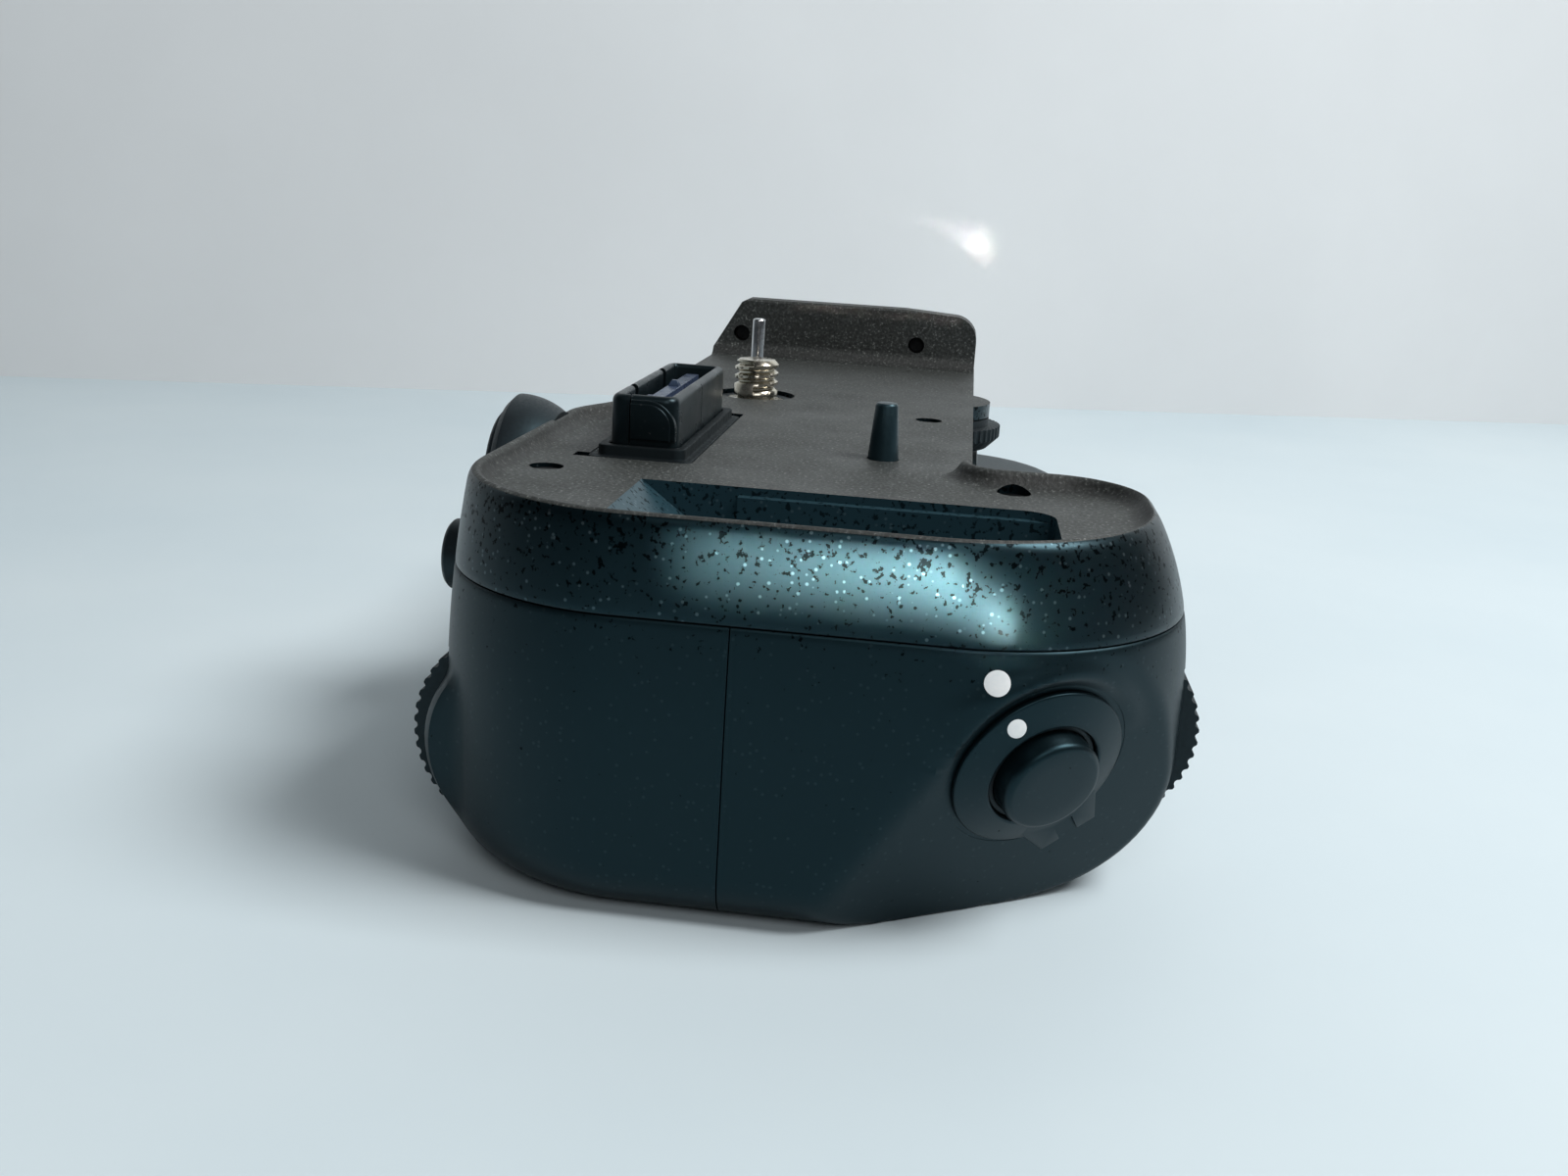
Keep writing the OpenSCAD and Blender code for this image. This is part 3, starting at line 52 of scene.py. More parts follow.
plate_front_y, plate_rear_y = 31.7, -14.4
bulge_x, rear_bend_x = 54.8, 58
split_y = 11.5
seam_gap = 0.06
seam_edge = [(0.3, 0.02), (0.16, 0.06), (seam_gap, 0.15)]
shutter_at = Vector((86.1, 39.4, 17.0))
shutter_out = Matrix.Rotation(math.radians(31), 3, "Z") @ Matrix.Rotation(math.radians(108.5), 3, "Y")
facet_normal = shutter_out @ Vector((0, 0, 1))


def arc(cx, cy, r, start, end, steps):
    turns = [math.radians(start + (end - start) * i / steps) for i in range(steps + 1)]
    return [(cx + r * math.cos(a), cy + r * math.sin(a)) for a in turns]


def between(p, q, steps):
    (px, py), (qx, qy) = p, q
    return [(px + (qx - px) * i / steps, py + (qy - py) * i / steps) for i in range(1, steps)]


def ease(p, q, steps):
    ts = [i / steps for i in range(steps + 1)]
    return [(p[0] + (q[0] - p[0]) * t, p[1] + (q[1] - p[1]) * t * t * (3 - 2 * t)) for t in ts]


def lean(z, rate, power=2):
    return rate * (z - belly_z) ** power if z > belly_z else 0.0


def base_in(z, r):
    return 0.0 if z >= r else r - math.sqrt(r * r - (r - z) ** 2)


def shoulder_in(z):
    t = min(max((z - shoulder_z) / shoulder_rise, 0), 1)
    return (hold_y - plate_front_y - 1.3) * (1 - (1 - t**2.5) ** 0.4)


def rear_at(z):
    return rear_y + lean(z, 0.0035) + base_in(z, 7)


def end_at(z):
    return near_x - lean(z, 0.0026) - base_in(z, 5)


def front_at(z):
    return front_y - lean(z, 0.00042, 3) - base_in(z, 15)


def lower_ring(z, inset=0.0, roof=0.0):
    yr, xe, yf = rear_at(z) + inset, end_at(z) - inset, front_at(z) - inset
    yh = hold_y - shoulder_in(min(z + roof, seam_z)) - base_in(z, 15) - inset
    xf = far_x + base_in(z, 3) + inset
    r_rear = 20 - inset - base_in(z, 5)
    r_front = 22 - inset - base_in(z, 15) / 2
    r_far = 6 - 1.5 * inset
    ring = arc(xf + r_far, yr + r_far, r_far, 180, 270, 6)
    ring += between((xf + r_far, yr), (rear_bend_x, yr), 24) + [(rear_bend_x, yr)]
    ring += between((rear_bend_x, yr), (xe - r_rear, yr), 20)
    ring += arc(xe - r_rear, yr + r_rear, r_rear, 270, 360, 36)
    ring += between((xe, yr + r_rear), (xe, yf - r_front), 20)
    ring += arc(xe - r_front, yf - r_front, r_front, 0, 90, 84)
    ring += between((xe - r_front, yf), (bulge_x + 1.5, yf), 12)
    ring += ease((bulge_x + 1.5, yf), (bulge_x - 12.5, yh), 24)
    ring += between((bulge_x - 12.5, yh), (xf + r_far, yh), 30)
    ring += arc(xf + r_far, yh - r_far, r_far, 90, 180, 6)
    ring += between((xf, yh - r_far), (xf, yr + r_far), 10)
    return [Vector((x, y, z)) * mm for x, y in ring]


def loft(rings):
    bm = bmesh.new()
    verts = [bm.verts.new(p) for p in rings[0]]
    bm.faces.new(verts)
    edges = [bm.edges.get((verts[i - 1], verts[i])) for i in range(len(verts))]
    place = {v: i for i, v in enumerate(verts)}
    for ring in rings[1:]:
        grown = bmesh.ops.extrude_edge_only(bm, edges=edges)["geom"]
        fresh = [g for g in grown if isinstance(g, bmesh.types.BMVert)]
        above = {}
        for v in fresh:
            below = next(e.other_vert(v) for e in v.link_edges if e.other_vert(v) in place)
            above[v] = place[below]
            v.co = ring[place[below]]
        edges = [g for g in grown if isinstance(g, bmesh.types.BMEdge)]
        edges = [e for e in edges if all(v in above for v in e.verts)]
        place = above
    bm.faces.new(sorted(place, key=place.get))
    bmesh.ops.recalc_face_normals(bm, faces=bm.faces)
    return bm


def hold_to_facet(bm, depth, softness):
    # Everything beyond the slanted facet is drawn back onto it, with a soft crease
    for v in bm.verts:
        d = (v.co / mm - shutter_at).dot(facet_normal) + depth
        near = max(softness - abs(d), 0) / softness
        kept = min(d, 0) - near * near * softness / 4
        v.co -= facet_normal * (d - kept) * mm


def raise_crest(bm):
    # A soft crest stands round the upper edge of the release's seat
    crest_h, crest_r, crest_w, crest_turn = 0.7, 10.4, 0.95, math.radians(197)
    for v in bm.verts:
        a, b, h = shutter_out.transposed() @ (v.co / mm - shutter_at)
        facing = math.cos(math.atan2(b, a) - crest_turn)
        if abs(h) < 2.5 and facing > 0:
            lift = crest_h * math.exp(-(((math.hypot(a, b) - crest_r) / crest_w) ** 2)) * facing
            room = (near_x - 0.02 - v.co.x / mm) / facet_normal.x
            v.co += facet_normal * max(min(lift, room), 0) * mm


def as_object(name, bm):
    mesh = bpy.data.meshes.new(name)
    bm.to_mesh(mesh)
    bm.free()
    obj = bpy.data.objects.new(name, mesh)
    bpy.context.scene.collection.objects.link(obj)
    return obj


up_z, out_x = (0, 0, 1), (1, 0, 0)


def rod(at, along, r, length, r_end=None, steps=96):
    # A cutter: a round bar from a point, along an axis, all in millimetres
    axis = Vector(along).normalized()
    turn = Vector(up_z).rotation_difference(axis).to_matrix().to_4x4()
    bm = bmesh.new()
    bmesh.ops.create_cone(bm, cap_ends=True, segments=steps, radius1=r * mm,
                          radius2=(r if r_end is None else r_end) * mm, depth=length * mm)
    bmesh.ops.translate(bm, verts=bm.verts, vec=(0, 0, length * mm / 2))
    bmesh.ops.transform(bm, verts=bm.verts, matrix=Matrix.Translation(Vector(at) * mm) @ turn)
    return as_object("cutter", bm)


def box(low, high):
    bm = bmesh.new()
    bmesh.ops.create_cube(bm, size=1)
    bmesh.ops.scale(bm, verts=bm.verts, vec=[(b - a) * mm for a, b in zip(low, high)])
    bmesh.ops.translate(bm, verts=bm.verts, vec=[(a + b) / 2 * mm for a, b in zip(low, high)])
    return as_object("cutter", bm)


def push(bm, face, step):
    # A flat face drawn out into a solid, by a step in millimetres
    grown = bmesh.ops.extrude_face_region(bm, geom=[face])["geom"]
    fresh = [g for g in grown if isinstance(g, bmesh.types.BMVert)]
    bmesh.ops.translate(bm, verts=fresh, vec=Vector(step) * mm)
    bmesh.ops.recalc_face_normals(bm, faces=bm.faces)


def prism(outline, along, start, end, name="cutter"):
    # A flat outline, given by its other two axes, pushed along X, Y or Z
    axis = "XYZ".index(along)
    bm = bmesh.new()
    corners = [[*p[:axis], start, *p[axis:]] for p in outline]
    face = bm.faces.new([bm.verts.new(Vector(p) * mm) for p in corners])
    push(bm, face, [end - start if i == axis else 0 for i in range(3)])
    return as_object(name, bm)


def round_rect(low, high, r, steps=6):
    (x0, y0), (x1, y1) = low, high
    return (arc(x1 - r, y1 - r, r, 0, 90, steps) + arc(x0 + r, y1 - r, r, 90, 180, steps)
            + arc(x0 + r, y0 + r, r, 180, 270, steps) + arc(x1 - r, y0 + r, r, 270, 360, steps))


def carve(obj, tools, keep="DIFFERENCE"):
    for tool in tools:
        cut = obj.modifiers.new("cut", "BOOLEAN")
        cut.operation = keep
        cut.solver = "EXACT"
        cut.object = tool
    shaped = bpy.data.meshes.new_from_object(obj.evaluated_get(bpy.context.evaluated_depsgraph_get()))
    shaped.name = obj.name
    obj.modifiers.clear()
    old, obj.data = obj.data, shaped
    bpy.data.meshes.remove(old)
    for tool in tools:
        bpy.data.meshes.remove(tool.data)
    return obj


def smooth(obj):
    obj.data.shade_smooth()
    obj.data.set_sharp_from_angle(angle=math.radians(28))


# Heights of the rings: close together at the base, under the shoulder and along the facet
lower_levels = [0, 0.06, 0.16, 0.3, 0.5, 0.75, 1.05, 1.4, 1.8, 2.3, 2.9, 3.6, 4.4, 5.3, 6.3, 7.4, 8.6]
lower_levels += [9.8, 11, 12.2, 13.2, 14, 14.9, 15.7, 16.4, 17.1, 17.7, 18.25, 18.75, 19.2, 19.6, 19.9]
lower_levels += [20.14, 20.31, 20.42, 20.48, 20.5] + [20.9 + 0.4 * i for i in range(18)] + [28.0, 28.3]
hollow_levels = [2, 2.6, 3.6, 5, 7, 10, 12, 13.2, 14.3, 15.3, 16.2, 16.9, 17.5, 17.95, 18.25, 18.43, 18.5]
hollow_levels += [21, 24, 27]


def lower_form():
    rings = [lower_ring(z) for z in lower_levels]
    rings += [lower_ring(seam_z - down, inset) for down, inset in seam_edge]
    return loft(rings)


def lower_hollow():
    rings = [lower_ring(z, wall, wall) for z in hollow_levels]
    top = lower_ring(seam_z, wall, wall)
    rings += [top, [p + Vector((0, 0, mm)) for p in top]]
    return loft(rings)


main_dial_at = Vector((72.6, -10.9, 12.0))
main_dial_r, main_dial_w = 10.9, 6.8
sub_dial_at = Vector((68.0, 45.5, 17.0))
sub_dial_r, sub_dial_w = 10.0, 6.4
thumb_at = Vector((68.0, -22.0, 27.0))
selector_at = Vector((43.5, -23.1, 30.5))
rear_post, front_post, chamber_post = (64.9, -12.7), (58.7, 36.1), (12.6, 25.7)
post_r, bolt_hole_r, bolt_head_r = 2.1, 1.1, 2.1
dial_gap, socket_r = 0.35, 5.7
base_bolts = [(x, y) for x in (-48.0, 43.2) for y in (-9.9, 21.6)]


def dome_ring(back):
    # One round of the selector's seat, which narrows in a curve behind the face of the selector
    r = 1.589 + math.sqrt(8.511**2 - max(back, 0) ** 2)
    y = back - 22.3
    return [Vector((x, y, z)) * mm for x, z in arc(selector_at.x, selector_at.z, r, 0, 356.25, 95)]


def seats_at_rear():
    # Holes that cross the seam: the dished seat of the rear button and the domed one of the selector
    x, y, z = thumb_at
    dome = as_object("cutter", loft([dome_ring(back) for back in (-10, 0, 1, 2, 3, 3.9, 4.7, 5.3)]))
    return [rod((x, y - 10, z), (0, 1, 0), 4.8, 22), rod((x, -18.2, z), (0, -1, 0), 5.5, 4, 8.7),
            rod((x, -17.1, z), (0, 1, 0), 6.0, 1.5), dome]


def post(at, z, length, r):
    return rod((*at, z), up_z, r, length, steps=32)


def holes_in_base():
    tools = [prism(round_rect((-17.4, 5.9), (31.1, 25.2), 4.7), "X", far_x - 1, far_x + wall + 1)]
    for x, y in base_bolts:
        tools += [post((x, y), -1, 4, bolt_hole_r), post((x, y), -1, 2.4, bolt_head_r)]
    return tools


def dial_room(at, r, w):
    # The slot of a dial and the hole for its axle
    slot = rod(at - Vector((dial_gap, 0, 0)), out_x, r + dial_gap, w + 2 * dial_gap, steps=128)
    return [slot, rod(at - Vector((3, 0, 0)), out_x, 1.6, w + 6, steps=32)]


# The rear casing swells into a rounded hood round the main dial
rear_bm = lower_form()
hood_r = main_dial_r - 1.7
hood_x0, hood_x1 = main_dial_at.x - 7.4, main_dial_at.x + main_dial_w + 5.0
hood_end = 5
for v in rear_bm.verts:
    x, y, z = v.co / mm
    across = (z - main_dial_at.z) / hood_r
    past = max(hood_x0 + hood_end - x, x - (hood_x1 - hood_end), 0) / hood_end
    if y < 0 and abs(across) < 1 and past < 1:
        rounding = 1 - 0.12 * past * past / (1.0001 - past * past) ** 0.5
        hood = main_dial_at.y - hood_r * math.sqrt(1 - across * across) * rounding
        near = max(1.0 - abs(hood - y), 0)
        v.co.y = (min(hood, y) - near * near / 4) * mm
rear_casing = as_object("rear_casing_shell", rear_bm)
hollow = carve(as_object("cutter", lower_hollow()), [
    box((70.2, -40, 7.5), (72.35, -6.4, 16.5)), box((79.65, -40, 7.5), (81.75, -6.4, 16.5)),
    post(rear_post, 0, 40, post_r)])
carve(rear_casing, [box((far_x - 5, -60, -5), (near_x + 5, split_y - seam_gap, 40))], "INTERSECT")
carve(rear_casing, [hollow] + dial_room(main_dial_at, main_dial_r, main_dial_w)
      + [rod((0, 0, -1), up_z, socket_r, 4), post(rear_post, 23, 10, bolt_hole_r)]
      + seats_at_rear() + holes_in_base())

front_bm = lower_form()
hold_to_facet(front_bm, 0, 0.5)
raise_crest(front_bm)
front_casing = as_object("front_casing_shell", front_bm)
hollow_bm = lower_hollow()
hold_to_facet(hollow_bm, wall, 0.4)
hollow = carve(as_object("cutter", hollow_bm), [
    box((65.65, 41, 12.5), (67.75, 80, 21.5)), box((74.65, 41, 12.5), (76.75, 80, 21.5)),
    post(front_post, 0, 40, post_r)])
rubber_rows = [5 + 13.5 * i / 14 for i in range(15)]


def rubber_profile(out, back):
    hold = [(hold_y - shoulder_in(z) - base_in(z, 15), z) for z in rubber_rows]
    return [(y + out, z) for y, z in hold] + [(y - back, z) for y, z in reversed(hold)]


carve(front_casing, [box((far_x - 5, split_y + seam_gap, -5), (near_x + 5, 80, 40))], "INTERSECT")
carve(front_casing, [hollow, rod(shutter_at - facet_normal * 0.03, facet_normal, 9.2, 20, steps=128),
                     rod(shutter_at - facet_normal * 8, facet_normal, 5.49, 20)]
      + dial_room(sub_dial_at, sub_dial_r, sub_dial_w)
      + [post(front_post, 23, 10, bolt_hole_r), prism(rubber_profile(0.4, 1.0), "X", -46.1, 40.4)]
      + holes_in_base())


def nodes_of(name, base, rough):
    mat = bpy.data.materials.new(name)
    mat.use_nodes = True
    tree = mat.node_tree
    shader = tree.nodes["Principled BSDF"]
    shader.inputs["Base Color"].default_value = (*base, 1)
    shader.inputs["Roughness"].default_value = rough
    place = tree.nodes.new("ShaderNodeTexCoord").outputs["Object"]
    return mat, tree, shader, place


def noise(tree, place, scale, detail):
    n = tree.nodes.new("ShaderNodeTexNoise")
    n.inputs["Scale"].default_value = scale
    n.inputs["Detail"].default_value = detail
    n.inputs["Roughness"].default_value = 0.55
    tree.links.new(place, n.inputs["Vector"])
    return n.outputs["Fac"]


def cell_pattern(tree, place, scale):
    n = tree.nodes.new("ShaderNodeTexVoronoi")
    n.inputs["Scale"].default_value = scale
    tree.links.new(place, n.inputs["Vector"])
    return n.outputs


def ramp(tree, value, stops):
    r = tree.nodes.new("ShaderNodeValToRGB")
    while len(r.color_ramp.elements) < len(stops):
        r.color_ramp.elements.new(0.5)
    for slot, (at, colour) in zip(r.color_ramp.elements, stops):
        slot.position = at
        slot.color = (*colour, 1)
    tree.links.new(value, r.inputs["Fac"])
    return r.outputs["Color"]


def level(tree, value, low, high, out_low, out_high):
    m = tree.nodes.new("ShaderNodeMapRange")
    for key, v in (("From Min", low), ("From Max", high), ("To Min", out_low), ("To Max", out_high)):
        m.inputs[key].default_value = v
    tree.links.new(value, m.inputs["Value"])
    return m.outputs["Result"]


def combine(tree, operation, first, second):
    m = tree.nodes.new("ShaderNodeMath")
    m.operation = operation
    tree.links.new(first, m.inputs[0])
    tree.links.new(second, m.inputs[1])
    return m.outputs[0]


def by_height(tree, place, low, high, most):
    # Grows from nothing to its most between two heights in millimetres
    split = tree.nodes.new("ShaderNodeSeparateXYZ")
    tree.links.new(place, split.inputs["Vector"])
    return level(tree, split.outputs["Z"], low * mm, high * mm, 0, most)


def tint(tree, shader, value, stops):
    tree.links.new(ramp(tree, value, stops), shader.inputs["Base Color"])


def roughen(tree, shader, value, least, most):
    tree.links.new(level(tree, value, 0.3, 0.7, least, most), shader.inputs["Roughness"])


def bump(tree, shader, height, strength, depth, after=None):
    b = tree.nodes.new("ShaderNodeBump")
    b.inputs["Strength"].default_value = strength
    b.inputs["Distance"].default_value = depth
    tree.links.new(height, b.inputs["Height"])
    if after is not None:
        tree.links.new(after, b.inputs["Normal"])
    tree.links.new(b.outputs["Normal"], shader.inputs["Normal"])
    return b.outputs["Normal"]


def moulded(name, dark, light, rough, grain, strength, gloss=0.35):
    mat, tree, shader, place = nodes_of(name, dark, rough)
    shader.inputs["Specular IOR Level"].default_value = gloss
    # The blue specular tint is a painted reflection of the bluish surroundings
    shader.inputs["Specular Tint"].default_value = (0.5, 0.86, 1, 1)
    tint(tree, shader, noise(tree, place, 60, 4), [(0.3, dark), (0.75, light)])
    fine = noise(tree, place, grain, 2)
    roughen(tree, shader, fine, rough - 0.06, rough + 0.08)
    bump(tree, shader, fine, strength, 0.00006)
    return mat


def satin_black(name, rough, spots_from, spots_to, glint, body=(0.0012, 0.003, 0.004)):
    # Satin black paint with small dull flecks that thin out towards the base, and fine glints that raise
    # its gloss and are also painted lighter into its colour as painted highlights. Its bluish colour and
    # bluish specular tint are a painted reflection of the bluish surroundings.
    mat, tree, shader, place = nodes_of(name, body, rough)
    # The blue of the body colour and of the specular tint is a painted reflection of the bluish
    # surroundings
    shader.inputs["Specular Tint"].default_value = (0.38, 0.82, 1, 1)
    crowding = by_height(tree, place, spots_from, spots_to, 0.16)
    fleck = level(tree, combine(tree, "ADD", noise(tree, place, 1600, 2), crowding), 0.735, 0.79, 0, 1)
    drops = cell_pattern(tree, place, 1500)
    few = level(tree, drops["Color"], 0.62, 0.66, 0, glint)
    spot = combine(tree, "MULTIPLY", few, level(tree, drops["Distance"], 0.16, 0.3, 1, 0))
    sheen = combine(tree, "ADD", level(tree, fleck, 0, 1, 0.38, 0.05), spot)
    tree.links.new(sheen, shader.inputs["Specular IOR Level"])
    tone = level(tree, combine(tree, "SUBTRACT", spot, fleck), -1, 1, 0, 1)
    # The flecks are darker; at the glints the colour is painted lighter, a painted highlight
    dull, painted_glint = [c * 0.3 for c in body], [c + 0.045 for c in body]
    tint(tree, shader, tone, [(0, dull), (0.5, body), (1, painted_glint)])
    fine = noise(tree, place, 3200, 2)
    roughen(tree, shader, fine, rough - 0.01, rough + 0.02)
    bump(tree, shader, fine, 0.05, 0.00003)
    return mat


def dress(obj, body, slot, material, *nodes):
    obj.data.materials.clear()
    obj.data.materials.append(material)
    smooth(obj)
    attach(obj, body)
    if nodes:
        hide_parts(*nodes)
    return obj


casing_black = satin_black("casing_black", 0.42, 22, 34, 0.1)
dress(rear_casing, "grip", "casing", casing_black, "rear_casing")
dress(front_casing, "grip", "casing", casing_black, "front_casing")


# Upper casing: one die-cast shell with the camera plate, the rim round its shutter end, the pocket
# for the contact cap and the raised wall at the far end. Its outside is sprayed satin black.
flare_x0, flare_x1 = 26, 38


def upper_ring(z, inset=0.0):
    t = min(max((z - seam_z) / (plate_z - seam_z), 0), 1)
    yr, xe, yf, yp = rear_at(z) + inset, end_at(z) - inset, front_at(z) - inset, plate_front_y - inset
    y_far = rear_at(seam_z) + (plate_rear_y - rear_at(seam_z)) * t + inset
    xb, xf = bulge_x + inset, far_x + inset
    r_rear, r_front, r_back, r_fillet, r_far = 20 - inset, 22 - inset, 9 - inset, 3 + inset, 6 - inset
    ring = arc(xf + r_far, y_far + r_far, r_far, 180, 270, 6)
    ring += between((xf + r_far, y_far), (flare_x0, y_far), 20)
    ring += ease((flare_x0, y_far), (flare_x1, yr), 16) + between((flare_x1, yr), (xe - r_rear, yr), 16)
    ring += arc(xe - r_rear, yr + r_rear, r_rear, 270, 360, 36)
    ring += between((xe, yr + r_rear), (xe, yf - r_front), 20)
    ring += arc(xe - r_front, yf - r_front, r_front, 0, 90, 44)
    ring += between((xe - r_front, yf), (xb + r_back, yf), 6)
    ring += arc(xb + r_back, yf - r_back, r_back, 90, 180, 18)
    ring += between((xb, yf - r_back), (xb, yp + r_fillet), 8)
    ring += arc(xb - r_fillet, yp + r_fillet, r_fillet, 0, -90, 8)
    ring += between((xb - r_fillet, yp), (xf + r_far, yp), 30)
    ring += arc(xf + r_far, yp - r_far, r_far, 90, 180, 6)
    ring += between((xf, yp - r_far), (xf, y_far + r_far), 8)
    return [Vector((x, y, z)) * mm for x, y in ring]


def recess_ring(z, inset):
    return [Vector((p.x, p.y, z * mm)) for p in upper_ring(plate_z, inset)]


rim_z = plate_z + 1.8
# Heights of the rings with their insets: outside, up to the rim, then inside, down to the plate
upper_steps = [(seam_z + over, inset) for over, inset in reversed(seam_edge)] + [(seam_z + 0.8, 0)]
upper_steps += [(30.8, 0), (31.8, 0), (32.8, 0), (33.8, 0), (34.8, 0), (35.8, 0), (36.5, 0), (37.2, 0.01)]
upper_steps += [(37.55, 0.05), (37.85, 0.14), (38.05, 0.26), (38.19, 0.42), (38.27, 0.6), (rim_z, 0.8)]
top_casing = as_object("top_casing_shell", loft([upper_ring(z, inset) for z, inset in upper_steps]))
recess_steps = [(plate_z, 4.2), (36.53, 3.6), (36.62, 3.05), (36.78, 2.6), (37.0, 2.2), (37.3, 1.88)]
recess_steps += [(37.62, 1.64), (37.92, 1.45), (38.12, 1.28), (38.24, 1.1), (38.32, 0.86), (42, 0.86)]
recess = as_object("cutter", loft([recess_ring(z, inset) for z, inset in recess_steps]))
carve(top_casing, [recess, box((far_x - 5, -40, plate_z), (flare_x0, 80, 60)),
                   box((far_x - 5, plate_front_y - 4.4, plate_z), (bulge_x - 3, 80, 60))])
roof_z = plate_z - wall
wheel_at, pin_at, peg_at = (-10, 25), (-12, -1.7), (44.7, 21.4)
bush_hole_r = 5.7
carve(top_casing, [rod((*wheel_at, roof_z), up_z, 9.2, 2, steps=160)], "UNION")
pocket_low, pocket_high, pocket_r, pocket_z = (67.4, -2.0), (86.0, 40.0), 3, plate_z - 5.0
pocket_wall = 1.6


def pocket_outline(grow):
    (x0, y0), (x1, y1), r = pocket_low, pocket_high, pocket_r + grow
    x0, y0, x1, y1 = x0 - grow, y0 - grow, x1 + grow, y1 + grow
    corners = arc(x1 - r, y1 - r, r, 0, 90, 10) + arc(x0 + r, y1 - r, r, 90, 180, 10)
    return [(x1, y0)] + corners + [(x0, y0)]


cavity = as_object("cutter", loft([recess_ring(z, wall) for z in (28, 31, roof_z)]))
carve(cavity, [prism(pocket_outline(pocket_wall), "Z", pocket_z - pocket_wall, 60),
               post(rear_post, seam_z, 10, post_r), post(front_post, seam_z, 10, post_r)])
ramp_y, above_z, below_z = pocket_low[1], plate_z + 2, pocket_z - 0.01
slope = [(ramp_y, above_z), (ramp_y, plate_z), (4.7, below_z), (60, below_z), (60, above_z)]
well = prism(pocket_outline(0), "Z", pocket_z, plate_z + 1)
carve(well, [prism(slope, "X", 60, 95)], "INTERSECT")
carve(well, [box((60, 8.2, 30), (68.6, 60, plate_z - 0.85))])
plate_tools = [prism(round_rect((21.8, -10.5), (57.6, 1.3), 1.2), "Z", 33, 40),
               rod((0, 0, 33), up_z, bush_hole_r, 10), rod((*pin_at, 33), up_z, 1.3, 10, steps=48),
               rod((*peg_at, 33), up_z, 1.9, 10, steps=64),
               rod((*wheel_at, seam_z - 1), up_z, 11.35, 6.5, steps=128),
               box((19.9, -0.6, 33), (22.5, 1.3, 40)), box((55.4, -11.9, 33), (57.6, -9, 40))]
for at in (rear_post, front_post, chamber_post):
    plate_tools += [post(at, seam_z - 1, 12, bolt_hole_r)]
    plate_tools += [rod((*at, plate_z - 1.4), up_z, 1.8, 10, steps=48)]
carve(top_casing, [cavity, well] + plate_tools + seats_at_rear())

# The raised wall at the far end, cast in one with the plate: a sloping back and a coved foot
profile = [(-57.7, 35), (-43.5, 35), (-43.5, 36.5)] + arc(-43.5, 39, 2.5, 270, 180, 8)
profile += [(-46, 46.1), (-46.25, 46.5), (-50.6, 46.5), (-51, 46.2), (-57.7, 37.5)]
far_wall = prism(profile, "Y", plate_rear_y - 1, plate_front_y + 1, "far_wall_block")
side = [(-14.3, 30), (31.6, 30)] + arc(27.4, 41.7, 4.2, 0, 80, 8)
side += [(17.5, 46.6), (-8.2, 46.6), (-9.6, 45.9), (-14.3, 37.9)]
carve(far_wall, [prism(side, "X", -70, -30)], "INTERSECT")
carve(far_wall, [rod((-49, y, 40.5), out_x, 1.4, 10, steps=48) for y in (-9.4, 21.3)])

band_paint = satin_black("band_paint", 0.31, 18, 36, 0.6)
plate_grain_and_shade, tree, shader, place = nodes_of("plate_grain_and_shade", (0.05, 0.047, 0.044), 0.6)
grain = noise(tree, place, 2600, 2)
speckle = ramp(tree, grain, [(0.25, (0.008, 0.01, 0.009)), (0.5, (0.028, 0.032, 0.03)),
                             (0.64, (0.06, 0.067, 0.064)), (0.72, (0.2, 0.21, 0.2))])
# Painted shade: the coved foot of the rim and of the wall is painted darker than the open plate, lighter
# again towards the rim's top, and all that stands higher a little darker than the plate
painted_shade_scale = tree.nodes.new("ShaderNodeVectorMath")
painted_shade_scale.operation = "SCALE"
tree.links.new(speckle, painted_shade_scale.inputs[0])
painted_shade_stops = [(0.01, 1), (0.08, 0.5), (0.32, 0.45), (0.44, 0.9), (1, 0.85)]
painted_cove_shade = ramp(tree, by_height(tree, place, plate_z, plate_z + 4, 1), [(at, (g, g, g)) for at, g in painted_shade_stops])
tree.links.new(painted_cove_shade, painted_shade_scale.inputs["Scale"])
tree.links.new(painted_shade_scale.outputs["Vector"], shader.inputs["Base Color"])
roughen(tree, shader, noise(tree, place, 90, 4), 0.48, 0.66)
bump(tree, shader, grain, 0.4, 0.00012)
# The pocket has the same satin paint as the band; its much lighter colour is painted light, standing in
# for the light on the pocket's walls and floor
pocket_satin = satin_black("pocket_satin", 0.36, 0, 16, 0.6, (0.02, 0.048, 0.062))
middle_x, middle_y = 70, 15
(x0, y0), (x1, y1) = pocket_low, pocket_high
for cast in (top_casing, far_wall):
    cast.data.materials.clear()
    for coat in (band_paint, plate_grain_and_shade, pocket_satin):
        cast.data.materials.append(coat)
    for f in cast.data.polygons:
        x, y, z = f.center / mm
        inward = f.normal.dot(Vector((middle_x - x, middle_y - y, 0))) > 0
        bare = z > plate_z - 0.05 and (inward or f.normal.z > 0.9) or z > rim_z - 0.25
        if cast is far_wall:
            bare = f.normal.x > 0.2 or f.normal.z > 0.4
        over_pocket = x0 - 0.1 < x < x1 + 0.1 and y0 - 0.1 < y < y1 + 0.1
        in_pocket = over_pocket and pocket_z - 0.05 < z < plate_z - 0.02
        f.material_index = 1 if bare else 2 if in_pocket else 0
    smooth(cast)
    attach(cast, "grip")
    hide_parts("top_casing")


